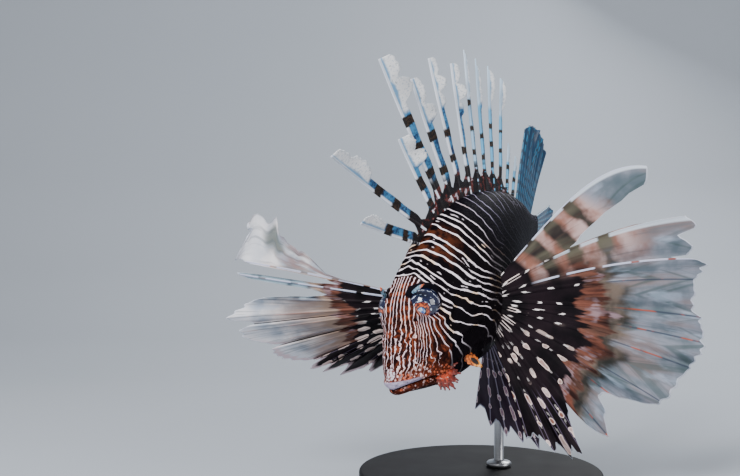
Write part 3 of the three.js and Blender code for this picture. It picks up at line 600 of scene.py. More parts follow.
def ray_line(axes, root, lean, bend, tilt, length, ease=1.4, steps=RAY_STEPS):
    """Points of a ray, with the way to its neighbour, the face and the way on at each: it
    starts at lean degrees from x towards y, turns by bend times share to the power of ease,
    and stands out by tilt. The points are the running sum of the steps along it."""
    w = np.linspace(0, 1, steps + 1)
    a = np.radians(lean + bend * w**ease)[:, None]
    b = np.radians(tilt)
    onward = (axes[0] * np.cos(a) + axes[1] * np.sin(a)) * np.cos(b) + axes[2] * np.sin(b)
    beside = axes[0] * np.sin(a) - axes[1] * np.cos(a)
    points = root + np.vstack([np.zeros(3), np.cumsum(onward[1:] * length / steps, axis=0)])
    return points, beside, np.cross(onward, beside), onward


def taper(w, radius, tip=0.3):
    """Radius of a ray: from its full radius down to its tip with share to the 0.8."""
    return tip + (radius - tip) * np.clip(1 - w, 0, 1) ** 0.8


def rod_along(points, across, face, radii):
    """Closed tube round a line: radius times cos along `across` and sin along `face`."""
    way = np.linspace(0, 2 * np.pi, ROD_AROUND, endpoint=False)[None, :, None]
    flat = np.cos(way) * across[:, None, :] + np.sin(way) * face[:, None, :]
    rings = points[:, None, :] + radii[:, None, None] * flat
    everything = np.vstack([rings.reshape(-1, 3), points[:1], points[-1:]])
    return everything, turned_right(everything, closed_tube(len(points), ROD_AROUND))


def leaf(middle, face, half):
    """Closed thin sheet: a grid of points moved by plus and minus half a thickness along the
    face, joined by a wall round its border."""
    columns, rows = middle.shape[:2]
    points = np.concatenate([(middle + face * half[..., None]).reshape(-1, 3),
                             (middle - face * half[..., None]).reshape(-1, 3)])
    index = np.arange(columns * rows).reshape(columns, rows)
    top = np.stack([index[:-1, :-1], index[1:, :-1], index[1:, 1:], index[:-1, 1:]], -1)
    top = top.reshape(-1, 4)
    border = np.concatenate([index[:-1, 0], index[-1, :-1], index[:0:-1, -1], index[0, :0:-1]])
    onward = np.roll(border, -1)
    below = columns * rows
    wall = np.stack([onward, border, border + below, onward + below], -1)
    faces = np.concatenate([top, top[:, ::-1] + below, wall]).tolist()
    return points, turned_right(points, faces)


def twice(grid):
    """The grid's values in a row, once for each face of a thin sheet."""
    return np.concatenate([np.ravel(grid), np.ravel(grid)])


def gathered(parts):
    """One set of points, faces and marks from several: indices shifted past those before."""
    shift = np.cumsum([0] + [len(part[0]) for part in parts])
    points = np.concatenate([part[0] for part in parts])
    faces = [[i + int(by) for i in face] for part, by in zip(parts, shift) for face in part[1]]
    marks = {key: np.concatenate([part[2][key] for part in parts]) for key in parts[0][2]}
    return points, faces, marks


def mixed_axes(station, *shares):
    """Directions given as shares of forward, left and up at a station, made unit length."""
    mixed = [sum(part * axis for part, axis in zip(share, axes_at(station))) for share in shares]
    return [way / np.linalg.norm(way) for way in mixed]


def band_distance(w, length, bands):
    """Millimetres outside the nearest dark band of a spine, negative inside it."""
    return np.min([np.abs(w - middle) * length - half for middle, half in bands], axis=0)


def spine_flap(i, points, across, face):
    """The clear strip behind one spine with its scalloped lobes: a sheet as wide at each row
    as the strip or the widest lobe there, an oval of the row to the power 0.4, that twists
    towards the tip and curls with its width."""
    rows = np.linspace(0.03, 1, 150)
    width = STRIPS[i] * ramp(rows, 0.03, 0.2) * (1 - 0.75 * ramp(rows, 0.75, 1))
    scallop = 1 + 0.07 * np.sin(rows * 130 + i) * np.sin(rows * 41 + i)
    for middle, reach, wide in LOBES[i]:
        lobe = wide * np.clip(1 - ((rows - middle) / reach) ** 2, 0, 1) ** 0.4
        width = np.maximum(width, lobe * scallop)
    width = np.maximum(width, 0.35)
    q = np.linspace(0, 1, 10)[:, None]
    at = rows * (len(points) - 1)
    steps = np.arange(len(points))
    points, across, face = (
        np.stack([np.interp(at, steps, part[:, k]) for k in range(3)], -1)[None]
        for part in (points, across, face))
    twist = np.radians(FLAP_TWIST * rows)[None, :, None]
    way = across * np.cos(twist) - face * np.sin(twist)
    out = face * np.cos(twist) + across * np.sin(twist)
    radius = taper(rows, SPINE_RADIUS, SPINE_TIP)
    reach = 0.4 * radius + q * (width + 0.6 * radius)
    curl = 0.1 * reach * np.sin(rows * 23 + i) + 0.012 * reach**2
    middle = points + way * reach[..., None] + out * curl[..., None]
    half = 0.28 + 0.35 * (1 - q) * np.ones_like(reach)
    sheet, faces = leaf(middle, out * np.ones_like(middle), half)
    share = np.broadcast_to(rows, reach.shape)
    return sheet, faces, {
        "reach": twice(share), "off": twice(reach),
        "band": twice(band_distance(share, SPINES[i][0], BANDS[i])),
        "spine": np.full(len(sheet), i), "rim": twice(width - reach)}


spine_lines = []
for (length, lean), station_i in zip(SPINES, np.linspace(*SPINE_STATIONS, len(SPINES))):
    axes = mixed_axes(station_i, (0, 0, 1), (1, 0, 0), (0, 1, 0))
    root = place(station_i, 0, along(OUTLINE, 1, station_i) - SUNK)
    spine_lines.append(ray_line(axes, root, lean, SPINE_BEND, 0, length + SUNK))

spine_parts = []
for i, (points, across, face, _) in enumerate(spine_lines):
    w = np.linspace(0, 1, len(points))
    tube, faces = rod_along(points, across, face, taper(w, SPINE_RADIUS, SPINE_TIP))
    share = np.append(np.repeat(w, ROD_AROUND), [0, 1])
    spine_parts.append((tube, faces, {
        "reach": share, "off": np.zeros(len(tube)),
        "band": band_distance(share, SPINES[i][0], BANDS[i]),
        "spine": np.full(len(tube), i), "rim": np.full(len(tube), FAR)}))
    spine_parts.append(spine_flap(i, points, across, face))


def between_rays(lines, c, w):
    """Value at ray coordinate c and share w of a stack of ray lines: straight between the
    two rays beside c and between the two steps beside w."""
    lines = np.asarray(lines)
    i = np.clip(np.floor(c).astype(int), 0, len(lines) - 2)
    f = (c - i)[..., None]
    at = np.clip(w, 0, 1.08) * (lines.shape[1] - 1)
    k = np.clip(np.floor(at).astype(int), 0, lines.shape[1] - 2)
    t = (at - k)[..., None]
    first = lines[i, k] * (1 - t) + lines[i, k + 1] * t
    second = lines[i + 1, k] * (1 - t) + lines[i + 1, k + 1] * t
    return first * (1 - f) + second * f


WEB_THICKNESS, WEB_SAG = 0.55, 0.05


def rayed_skin(rays, lengths, margin, radius, cells, rows, ruffle, flesh=1.6, blinds=None, seed=1):
    """Closed skin over a fan of rays. Columns crowd at the rays, rows run from the roots to
    the margin, a share of the length at each column. Half its thickness is that of the web,
    raised to a round ridge over each ray and fleshier at the roots; between rays the web
    hangs a little, and its margin waves by sums of sines."""
    chance = np.random.default_rng(seed)
    lines = np.array([ray[0] for ray in rays])
    sides = np.array([ray[2] for ray in rays])
    bend = 0.5 - 0.5 * np.cos(np.pi * np.arange(cells) / cells)
    c = np.append((np.arange(len(rays) - 1)[:, None] + bend[None]).ravel(), len(rays) - 1)
    f = np.append(np.tile(bend, len(rays) - 1), 0)
    edge = np.interp(c, *np.array(margin).T)
    for k in range(5):
        wave = np.sin(c * chance.uniform(6, 26) + chance.uniform(0, 6))
        edge = edge + 0.005 * wave * (edge > 0.3)
    share = np.linspace(0, 1, rows) ** 0.9
    w = edge[:, None] * share[None]
    cc = np.broadcast_to(c[:, None], w.shape)
    middle = between_rays(lines, cc, w)
    out = between_rays(sides, cc, w)
    out /= np.linalg.norm(out, axis=-1, keepdims=True)
    i = np.clip(np.floor(cc).astype(int), 0, len(rays) - 2)
    across = between_rays(lines, i.astype(float), w) - between_rays(lines, i + 1 - 1e-6, w)
    gap = np.linalg.norm(across, axis=-1)
    off = np.minimum(f, 1 - f)[:, None] * gap
    thick = taper(w, radius)
    half = WEB_THICKNESS / 2 + flesh / 2 * np.exp(-w / 0.07)
    round_ridge = np.sqrt(np.clip(1 - (off / (1.3 * thick)) ** 2, 0, 1))
    half = half + np.clip(thick - half, 0, None) * round_ridge
    lift = -WEB_SAG * gap * np.sin(np.pi * f)[:, None] * ramp(w, 0.1, 0.5)
    for k in range(3):
        wave = np.sin(cc * chance.uniform(1.5, 5) + w * chance.uniform(2, 9) + chance.uniform(0, 6))
        lift = lift + ruffle * wave * (w**3)
    if blinds is not None:
        lift = lift + blinds(cc, w)
    middle = middle + out * lift[..., None]
    length = np.interp(c, np.arange(len(rays)), lengths)[:, None]
    points, faces = leaf(middle, out, half)
    rim = (edge[:, None] - w) * length
    grids = {"ray": cc, "reach": w, "off": off, "rim": rim, "gap": gap}
    return points, faces, {label: twice(grid) for label, grid in grids.items()}


joined = [[0, 0.26]]
for i in range(len(SPINES) - 1):
    low = 0.2 if i > 0 else 0.17
    joined += [[i + 0.12, low], [i + 0.5, low - 0.05], [i + 0.88, low], [i + 1, low + 0.05]]
base_lengths = [row[0] for row in SPINES]
points, faces, marks = rayed_skin(spine_lines, base_lengths, joined, 1.0, 10, 16, 0, flesh=2)
spine_parts.append((points, faces, {
    "reach": marks["reach"], "off": marks["off"] + 1, "band": np.full(len(points), FAR),
    "spine": marks["ray"], "rim": np.full(len(points), FAR)}))

banded = Paint("banded_spines", Roughness=0.42, Specular_IOR_Level=0.35)
reach, off, spine, rim = banded.marks("reach", "off", "spine", "rim")
mottle = banded.noise(7, 3.0)
speck = banded.noise(1.6, 3.0)
outward = (off + mottle * 4 - rim * 0.2).rise(2.4, 4.6)
white = banded.blend(outward, (120, 168, 208), (252, 251, 252))
comb = banded.noise(1.0, 2.0, banded.where(reach * 90, off * 0.5, spine))
white = white.under(
    (comb.rise(0.5, 0.68) * 0.5, (160, 176, 196)),
    (speck.rise(0.64, 0.68) * 0.5, (120, 132, 128)),
    (rim.rise(0.7, 0.4) * 0.25, (150, 166, 186)))
strip = banded.blend((speck * 0.5 + mottle * 0.5).rise(0.36, 0.62), (14, 44, 92), (76, 150, 200))
behind = spine.rise(5.5, 8.0)
lobed = (reach + (mottle - 0.5) * 0.06).rise(0.66, 0.7)
edge = banded.blend(behind * 0.85 * (1 - lobed * 0.6), (236, 240, 250), (50, 172, 222))
clear = strip.coat(lobed, white)
painted = edge.coat(off.rise(0.9, 1.7), clear)
brown = banded.blend(speck.rise(0.42, 0.66), (14, 8, 8), (62, 42, 28))
band = banded.mark("band") + mottle * 3 + speck * 2.4 - 2.7
painted = painted.coat(band.rise(0.5, -0.7), brown)
dapple = banded.noise(1.0, 2.0, banded.where(spine * 2.3, reach * 16, 0.0))
foot = banded.blend(dapple.rise(0.54, 0.6), (16, 8, 14), (112, 42, 34))
foot = foot.coat(dapple.rise(0.63, 0.66), (206, 196, 208))
low = (reach + (dapple - 0.5) * 0.1).rise(0.27, 0.21)
painted = painted.coat(low * off.rise(0.6, 1.4), foot)
ticks = dapple.rise(0.56, 0.5) * off.rise(1.6, 0.9) * reach.rise(0.3, 0.22)
painted = painted.coat(ticks, (20, 9, 13))
fibre = banded.node("ShaderNodeTexWave", {}, {
    "Vector": banded.where(off, reach * 30, 0.0), "Scale": 1.2, "Distortion": 3.0})
banded.feed(Base_Color=painted, Normal=banded.bump(fibre, 0.12))
finer("spiny_back_fin", "spines", banded, *gathered(spine_parts))


# The clear fins: the soft back fin, the anal fin and the tail fin are glassy skin on thin
# rays rooted in the back, the belly and the tail stalk, sea blue with rows of faint dots.
clear_fin = Paint("clear_blue_fin", Roughness=0.3, Specular_IOR_Level=0.5)
ray, reach, off = clear_fin.marks("ray", "reach", "off")
murk = clear_fin.noise(12, 3.0)
water = clear_fin.blend(murk, (8, 34, 64), (20, 78, 116))
rods = water.coat(off.rise(1.0, 0.4), (48, 124, 160))
jitter = clear_fin.noise(1.0, 1.0, clear_fin.where(ray * 3, reach * 4, 0.0))
dots = clear_fin.wave(reach * 9 + jitter * 1.2).rise(0.22, 0.14) * off.rise(1.4, 0.8)
rods = rods.coat(dots * 0.85, (34, 44, 66))
clear_fin.feed(Base_Color=rods, Normal=clear_fin.bump(murk, 0.3))


SOFT_BEND, SOFT_CELLS, SOFT_ROWS, SOFT_RUFFLE = -8, 10, 60, 0.8


def soft_fin(name, count, span, lengths, leans, radius, down, margin):
    """A soft fin in the fish's middle plane, its rays evenly changing from end to end."""
    up, border, sunk = ((0, 0, -1), 2, SUNK) if down else ((0, 0, 1), 1, -SUNK)
    span, lengths, leans = (np.linspace(*ends, count) for ends in (span, lengths, leans))
    rays = []
    for station_t, length, lean in zip(span, lengths, leans):
        axes = mixed_axes(station_t, up, (1, 0, 0), (0, 1, 0))
        root = place(station_t, 0, along(OUTLINE, border, station_t) + sunk)
        rays.append(ray_line(axes, root, lean, SOFT_BEND, 0, length + SUNK))
    finer(name, "clear_fins", clear_fin, *rayed_skin(
        rays, lengths, margin, radius, SOFT_CELLS, SOFT_ROWS, SOFT_RUFFLE, seed=5))


soft_fin("soft_back_fin", 11, (209, 243), (71, 68), (-24, -32), 0.75, False,
         [[0, 0.84], [1.5, 0.94], [4, 1.0], [6.5, 1.02], [8.5, 1.0], [10, 0.9]])
soft_fin("anal_fin", 8, (178, 219), (46, 54), (-28, -60), 0.8, True,
         [[0, 0.85], [1, 0.97], [4, 1.0], [6, 0.97], [7, 0.85]])
TAIL_STATION, TAIL_COUNT, TAIL_LENGTH, TAIL_SPREAD, TAIL_HEIGHT = 264, 12, 73, 17, 11
TAIL_NOTCH, TAIL_RADIUS = 5, 0.75
TAIL_MARGIN = [[0, 0.9], [1, 0.98], [5.5, 1.0], [10, 0.98], [11, 0.9]]
tail_axes = mixed_axes(STANDARD_LENGTH, (-1, 0, 0), (0, 0, 1), (0, 1, 0))
tail_rays = []
for t in np.linspace(1, -1, TAIL_COUNT):
    root = place(TAIL_STATION - SUNK, 0, TAIL_HEIGHT * t)
    length = TAIL_LENGTH - TAIL_NOTCH * t * t + SUNK
    tail_rays.append(ray_line(tail_axes, root, TAIL_SPREAD * t, 0, 0, length))
finer("tail_fin", "clear_fins", clear_fin, *rayed_skin(
    tail_rays, [TAIL_LENGTH] * TAIL_COUNT, TAIL_MARGIN, TAIL_RADIUS, SOFT_CELLS, SOFT_ROWS,
    SOFT_RUFFLE, seed=6))


# The breast fins: great fans of skin on fourteen rays, spread to either side from roots in
# the shoulders. Each ray's skin is free towards its end and torn there. The left fan is
# seen from its back, the right one from its front.
# Rays: lean, bend, tilt and length, and where a ray has one its own ease
LEFT_RAYS = [
    [48, -56, 3, 138, 4], [31, -28, 3, 152], [17, -20, 4, 149], [9, -12, 4, 140], [-3, -6, 5, 142],
    [-10, -4, 4, 142], [-17, -4, 3, 139], [-28, -5, 2, 126], [-35, -4, 1, 106], [-45, -6, 0, 112],
    [-54, -5, -1, 111], [-59, -4, -2, 109], [-64, -4, -3, 101], [-71, -4, -4, 88],
]
RIGHT_RAYS = [
    [14, -4, 8, 134], [8, 2, 8, 138], [2, 0, 10, 138], [-3.5, 0, 12, 142], [-8, 0, 14, 136],
    [-13, 0, 18, 124], [-18, 0, 23, 118], [-24, 0, 27, 113], [-29, 0, 31, 111], [-34, 0, 35, 109],
    [-42, 0, 41, 101], [-54, 0, 50, 88], [-66, 0, 56, 78], [-78, 0, 60, 66],
]
BREAST_STATION, BREAST_SIDE, BREAST_HEIGHT, BREAST_ROOT = 95, 15, -7, 17
SPREAD_LEFT, SPREAD_RIGHT = (-0.52, 0.75, -0.41), (0.52, -0.75, 0.41)
SPREAD_UP, SPREAD_BEHIND = (-0.51, 0.11, 0.85), (-0.68, -0.65, -0.33)
# How far the skin reaches along the rays, by ray
LEFT_MARGIN = [
    [0, 1], [0.06, 0.985], [0.2, 0.95], [0.35, 0.9], [0.4, 0.88], [0.43, 0.81], [0.49, 0.78],
    [0.52, 0.7], [0.58, 0.63], [0.65, 0.58], [0.78, 0.48], [0.965, 0.39], [0.99, 0.93],
    [1.1, 0.96], [1.28, 0.97], [1.36, 0.92], [1.45, 0.86], [1.55, 0.9], [1.7, 0.94], [1.8, 0.94],
    [1.93, 0.9], [1.965, 0.79], [2.0, 0.9], [2.1, 0.96], [2.25, 1.0], [2.5, 0.99], [3, 0.98],
    [3.4, 0.965], [3.8, 0.965], [4, 0.98], [4.5, 1.01], [5, 1.02], [5.5, 1.01], [6, 1.0],
    [6.5, 1.0], [7.15, 1.02], [7.5, 1.01], [7.8, 0.95], [8.0, 0.9], [8.2, 0.85], [8.33, 0.83],
    [8.45, 0.87], [8.6, 0.91], [8.8, 0.95], [9.0, 0.99], [9.2, 0.95], [9.35, 0.88], [9.44, 0.8],
    [9.5, 0.7], [9.56, 0.7], [9.75, 0.76], [9.95, 0.84], [10.1, 0.92], [10.25, 1.0], [10.5, 0.97],
    [10.62, 0.9], [10.8, 0.94], [11, 0.99], [11.3, 0.9], [11.6, 0.92], [11.9, 0.96], [12.3, 0.86],
    [12.7, 0.9], [13, 0.93],
]
RIGHT_MARGIN = [
    [0, 0.965], [0.15, 0.98], [0.3, 0.97], [0.42, 1.0], [0.55, 1.02], [0.7, 1.03], [0.85, 1.01],
    [1, 0.98], [1.1, 0.95], [1.17, 0.55],
    [1.45, 0.47], [1.7, 0.56], [1.78, 0.93], [1.9, 0.98], [2.02, 0.97], [2.14, 0.9], [2.22, 0.6],
    [2.5, 0.5], [2.78, 0.62], [2.9, 0.83], [3.0, 0.85], [3.2, 0.9], [3.6, 0.96], [4.0, 1.0],
    [4.2, 1.0], [4.35, 0.93], [4.55, 0.89], [4.65, 0.94], [4.85, 0.99], [5.03, 1.01], [5.35, 1.04],
    [5.65, 1.02], [6.0, 0.99], [6.18, 0.96], [6.3, 0.92], [6.42, 0.97], [6.7, 1.02], [7.2, 1.03],
    [7.6, 1.02], [8.0, 0.95], [8.15, 0.88], [8.3, 0.85], [8.5, 0.93], [8.7, 0.99], [8.95, 0.94],
    [9.2, 0.84], [9.5, 0.97], [9.85, 0.9], [10.2, 0.82], [10.45, 0.98], [10.8, 0.9], [11.2, 0.8],
    [11.5, 0.96], [11.8, 0.88], [12.3, 0.8], [12.6, 0.95], [13, 0.85], [13.5, 0.9], [14, 0.95],
]


def rays_from_hub(axes, hub, start, sunk, table):
    """Rays about a hub inside the body. Their roots lie on an arc round it, each on its own
    heading, so that the rays only part, and each root is sunk towards the hub."""
    rays = []
    for lean, bend, tilt, length, *ease in table:
        heading = ray_line(axes, hub, lean, 0, tilt, 1, steps=1)[3][0]
        root = hub + heading * (start - sunk)
        rays.append(ray_line(axes, root, lean, bend, tilt, length + sunk, *ease))
    return rays


def breast_rays(side, table, outward):
    """Rays of one breast fin."""
    axes = mixed_axes(SHOULDER_STATION, outward, SPREAD_UP, SPREAD_BEHIND)
    hub = place(BREAST_STATION, side * BREAST_SIDE, BREAST_HEIGHT)
    return rays_from_hub(axes, hub, BREAST_ROOT, SUNK, table)


# Where one free end stops and the next begins, by ray
LEFT_SLOTS = np.array([-0.2, 0.98, 1.97, 4.0, 6.0, 8.33, 9.5, 10.6, 11.4, 12.4, 13.6])
RIGHT_SLOTS = np.array([-0.2, 1.15, 2.2, 2.85, 4.6, 6.36, 8.15, 9.2, 10.2, 11.2, 12.3, 14.2])


def slots_beside(c, slots):
    """The slots before and after c."""
    k = np.clip(np.searchsorted(slots, c, side="right") - 1, 0, len(slots) - 2)
    return slots[k], slots[k + 1]


def blinds(slots, height, low, high):
    """How far each free end stands over the next: a ramp over each that drops at its slot
    and grows from share low to share high of the rays."""
    def lift(c, w):
        before, after = slots_beside(c, slots)
        t = (c - before) / (after - before)
        return height * ramp(w, low, high) * (t - 0.5) * ramp(t, 1.0, 0.93)
    return lift


# The dark heart ends at a share of each ray: far out on the left fan's low rays. The right
# fan's heart is small, and its lowest rays are dark from end to end.
LEFT_HEART = [[0, 0.24], [1, 0.3], [2, 0.35], [3, 0.41], [5, 0.42], [6, 0.45], [7, 0.5], [8, 0.56],
              [9, 0.58], [9.5, 0.66], [10, 1.0], [10.5, 1.3], [13, 1.3]]
RIGHT_HEART = [[0, 0.1], [0.9, 0.2], [1.1, 0.42], [2, 0.46], [3, 0.4], [4, 0.38], [5, 0.4],
               [6, 0.43], [7, 0.47], [8, 0.54], [8.4, 1.3], [14, 1.3]]
# The ragged top feather of the right fan: its height over the first ray, by share of the ray
RIGHT_TOP = np.array([
    [0, 0.4], [0.45, 0.6], [0.54, 2.5], [0.6, 8], [0.64, 12], [0.68, 15], [0.7, 14.2],
    [0.72, 16.5], [0.75, 18], [0.77, 19.5], [0.785, 23], [0.8, 22], [0.82, 25], [0.83, 35.5],
    [0.845, 36], [0.86, 31], [0.88, 29.5], [0.9, 33.5], [0.92, 35], [0.94, 36], [0.96, 33],
    [0.968, 28], [0.975, 29.5], [0.985, 26], [1.0, 16]])
FAN_RADIUS, FAN_CELLS, FAN_ROWS, FAN_RUFFLE = 1.1, 22, 84, 1.2


def fan_marks(marks, heart, seed, **own):
    """What a fan's paint reads: how far past the heart a point is, a number of its ray drawn
    by chance, and the marks that are the fan's own."""
    ray = marks["ray"]
    marks["zone"] = marks["reach"] - np.interp(ray, *np.array(heart).T)
    marks["beat"] = np.random.default_rng(seed).uniform(0, 1, 20)[np.round(ray).astype(int)]
    marks.update({label: np.broadcast_to(values, ray.shape) for label, values in own.items()})


left_fan = rayed_skin(
    breast_rays(1, LEFT_RAYS, SPREAD_LEFT), [row[3] for row in LEFT_RAYS], LEFT_MARGIN,
    FAN_RADIUS, FAN_CELLS, FAN_ROWS, FAN_RUFFLE, blinds=blinds(LEFT_SLOTS, 5, 0.38, 0.95), seed=2)
ray = left_fan[2]["ray"]
fan_marks(
    left_fan[2], LEFT_HEART, 12, lap=FAR, patch=FAR, barred=ramp(ray, 2.6, 0.9),
    spotted=ramp(ray, 5.6, 8.6), lead=np.isin(np.round(ray), [0, 2]), cream=0, smoky=0)

right_rays = breast_rays(-1, RIGHT_RAYS, SPREAD_RIGHT)
top_line, top_beside, top_face, top_onward = right_rays[0]
lead = np.interp(np.linspace(0, 1, RAY_STEPS + 1), *RIGHT_TOP.T)[:, None]
top_line = top_line - top_beside * lead + top_face * (0.1 * lead)
right_rays = [(top_line, top_beside, top_face, top_onward)] + right_rays
right_lengths = [row[3] for row in RIGHT_RAYS[:1] + RIGHT_RAYS]
right_fan = rayed_skin(
    right_rays, right_lengths, RIGHT_MARGIN, FAN_RADIUS, FAN_CELLS, FAN_ROWS, FAN_RUFFLE,
    blinds=blinds(RIGHT_SLOTS, -7, 0.3, 0.85), seed=3)
marks = right_fan[2]
ray, reach = marks["ray"], marks["reach"]
free = ramp(reach, 0.36, 0.42) * ramp(ray, 2.6, 2.8)
fan_marks(
    marks, RIGHT_HEART, 13,
    lap=(slots_beside(ray, RIGHT_SLOTS)[1] - ray) * marks["gap"] + FAR * (1 - free),
    patch=np.hypot((ray - 0.42) / 0.3, (reach - 0.83) / 0.06), barred=0,
    spotted=ramp(ray, 5.0, 7.0), lead=np.isin(np.round(ray), [1, 2]), cream=1,
    smoky=ramp(ray, 1.1, 1.3) * ramp(ray, 3.1, 2.8))
marks["zone"] = 1.35 * marks["zone"]

# The fans' paint, from the dark heart over a salmon zone to the pearly ends. Bars cross the
# left fan's top feather, at these shares of its rays, and spots run down the low rays.
LEFT_BARS = [0.28, 0.41, 0.545]


def spot_distance(way, across, grain):
    """Squared distance from the middle of the nearest spot, made uneven by a grain."""
    return way * way + across * across + (grain - 0.5) * 0.9


fan = Paint("fan_skin", Roughness=0.6, Specular_IOR_Level=0.1)
ray, reach, off, rim = fan.marks("ray", "reach", "off", "rim")
zone, barred, spotted = fan.marks("zone", "barred", "spotted")
beat, lead, cream, smoky = fan.marks("beat", "lead", "cream", "smoky")
lap, patch = fan.marks("lap", "patch")
cloud = fan.noise(17, 3.0).rise(0.32, 0.68)
fibre = fan.noise(1.0, 4.0, fan.where(ray * 2.4, reach * 4, 0.0))
flame = fan.noise(1.0, 2.0, fan.where(ray * 0.8, reach * 9, 3.0))
fold = fan.noise(1.0, 3.0, fan.where(ray * 1.3, reach * 2.2, 7.0))
dusk = fan.blend(cloud, (8, 5, 9), (28, 18, 24))
striae = fan.noise(1.0, 2.0, fan.where(ray * 9, reach * 3, 5.0))
pearl = fan.blend((cloud * 0.15 + fold * 0.85).rise(0.32, 0.66), (84, 97, 106), (144, 147, 160))
pearl = pearl.coat(fold.rise(0.48, 0.64) * 0.7, (120, 98, 90))
arc = fan.noise(1.0, 2.0, fan.where(ray * 0.4, reach * 8 + off * 0.2, 5.0))
pearl = pearl.coat(arc.rise(0.52, 0.66) * 0.55, (56, 74, 70))
chalk = fan.blend(cloud, (150, 164, 182), (246, 240, 240))
chalk = chalk.under(
    ((zone + (fold - 0.5) * 0.6).rise(0.6, 0.25) * 0.8, (176, 146, 130)),
    (fold.rise(0.56, 0.66) * 0.6, (140, 118, 106)),
    (reach.rise(0.8, 0.97) * 0.8, (250, 248, 252)))
first_streaks = ray.rise(1.0, 0.8) * fibre.rise(0.44, 0.6) * reach.rise(0.9, 0.7)
chalk = chalk.under(
    (first_streaks, (160, 132, 128)),
    ((patch + (fold - 0.5) * 1.4).rise(1.2, 0.3) * 0.7, (104, 108, 90)),
    # Grey-brown over each free end near the slot after it: painted shade where the free ends lap
    # one over the next.
    (lap.rise(6.0, 1.0) * 0.45, (96, 84, 84)))
pearl = pearl.coat(cream, chalk)
smoke = fan.blend(flame.rise(0.42, 0.56), (34, 50, 66), (140, 160, 172))
pearl = pearl.under(
    (smoky, smoke),
    (fibre.rise(0.54, 0.7) * 0.4, (178, 194, 216)),
    (striae.rise(0.5, 0.64) * 0.4, (92, 104, 112)))
vein = fan.blend(flame.rise(0.5, 0.58), (52, 60, 76), (168, 66, 28))
pearl = pearl.coat(off.rise(0.8, 0.25) * (0.75 - cream * 0.45), vein)
salmon = fan.blend(fibre.rise(0.36, 0.64), (40, 22, 20), (122, 73, 59))
salmon = salmon.under(
    (fold.rise(0.42, 0.62) * 0.6, (98, 70, 60)),
    ((flame + (striae - 0.5) * 0.4).rise(0.53, 0.64) * 0.6, (168, 142, 150)),
    (striae.rise(0.54, 0.64) * 0.5, (38, 22, 22)))
edge = zone + (fibre - 0.5) * 0.26 + (fan.wave(ray) - 0.25) * -0.1
colour = dusk.coat(edge.rise(0.0, 0.03), salmon)
shade = fan.blend(cloud, (40, 40, 38), (112, 98, 88))
shade = shade.coat(cream * 0.7, (178, 150, 134))
colour = colour.coat(edge.rise(0.1, 0.14), shade)
colour = colour.coat(edge.rise(0.15, 0.26), pearl)
pink = fan.blend(cloud, (140, 94, 80), (196, 168, 164))
brown = fan.blend(fold.rise(0.4, 0.62), (44, 38, 38), (96, 92, 78))
bar = abs(reach - LEFT_BARS[0])
for middle in LEFT_BARS[1:]:
    bar = fan.math("MINIMUM", bar, abs(reach - middle))
past_bar = bar - 0.028 + (flame - 0.5) * 0.06 + (cloud - 0.5) * 0.03
bars = brown.coat(past_bar.rise(-0.018, 0.02), pink)
on_bars = barred * (zone + (cloud - 0.5) * 0.05).rise(0.45, 0.34) * reach.rise(0.17, 0.2)
bars = bars.coat(striae.rise(0.52, 0.66) * 0.4, (72, 56, 50))
colour = colour.coat(on_bars, bars)
front = ray.rise(1.14, 1.08) * ray.rise(0.98, 1.0)
front = fan.math("MAXIMUM", ray.rise(0.08, 0.04), front) * barred * reach.rise(0.2, 0.3)
colour = colour.coat(front * bar.rise(0.02, 0.035) * 0.85, (214, 224, 236))
spot_way = fan.wave(reach * 7 + beat * 7 + (flame - 0.5) * 1.2) * (5.2 - cream * 1.4)
spot_size = spot_distance(spot_way, off / (1.4 + cream * 0.6), fibre)
kept = fan.noise(1.0, 0.0, fan.where(beat * 37, reach * 3.5, 9.0))
kept = kept.rise(0.36 - cream * 0.14, 0.44 - cream * 0.14)
in_spots = spotted * reach.rise(0.2, 0.28) * edge.rise(0.06, 0.0) * kept
colour = colour.coat(spot_size.rise(1.5, 1.1) * in_spots, (240, 216, 206))
colour = colour.coat(spot_size.rise(0.75, 0.4) * in_spots * (1 - cream * 0.7), pink)
hem = abs(off - 1.6).rise(0.4, 0.2) * spotted * reach.rise(0.5, 0.65) * edge.rise(0.0, -0.05)
colour = colour.coat(hem * 0.4, (140, 124, 150))
loops = abs(off - 0.95).rise(0.4, 0.22) * reach.rise(0.17, 0.15) * reach.rise(0.06, 0.08)
loops = loops * beat.rise(0.4, 0.45)
colour = colour.coat(loops * fan.wave(reach * 7 + beat * 3).rise(0.14, 0.2), (246, 226, 220))
tips = (rim + fibre * 8).rise(12.0, 7.0) * reach.rise(0.7, 0.8) * spotted * cream
colour = colour.coat(tips * 0.9, (226, 200, 206))
dash_turns = reach * 9 + beat * 9 + (fibre - 0.5) * 1.4
dashes = fan.wave(dash_turns).rise(0.13, 0.08) * off.rise(0.8, 0.45)
dashes = dashes * edge.rise(0.02, -0.03) * (1 - spotted * 0.7)
colour = colour.coat(dashes, (250, 240, 238))
streaks = fan.wave(reach * 6 + beat * 3).rise(0.42, 0.36) * off.rise(0.85, 0.5)
streaks = streaks * reach.rise(0.16, 0.24)
colour = colour.under(
    (lead * streaks * 0.9, (206, 210, 234)),
    (rim.rise(1.4, 0.6) * (0.75 - spotted * 0.2), (222, 226, 240)),
    # A dark line at the slot after each free end: painted shadow where the free ends overlap.
    (lap.rise(1.3, 0.7), (18, 14, 22)))
fan.feed(Base_Color=colour, Normal=fan.bump(fibre, 0.35))
finer("breast_fin_left", "breast_fins", fan, *left_fan)
finer("breast_fin_right", "breast_fins", fan, *right_fan)


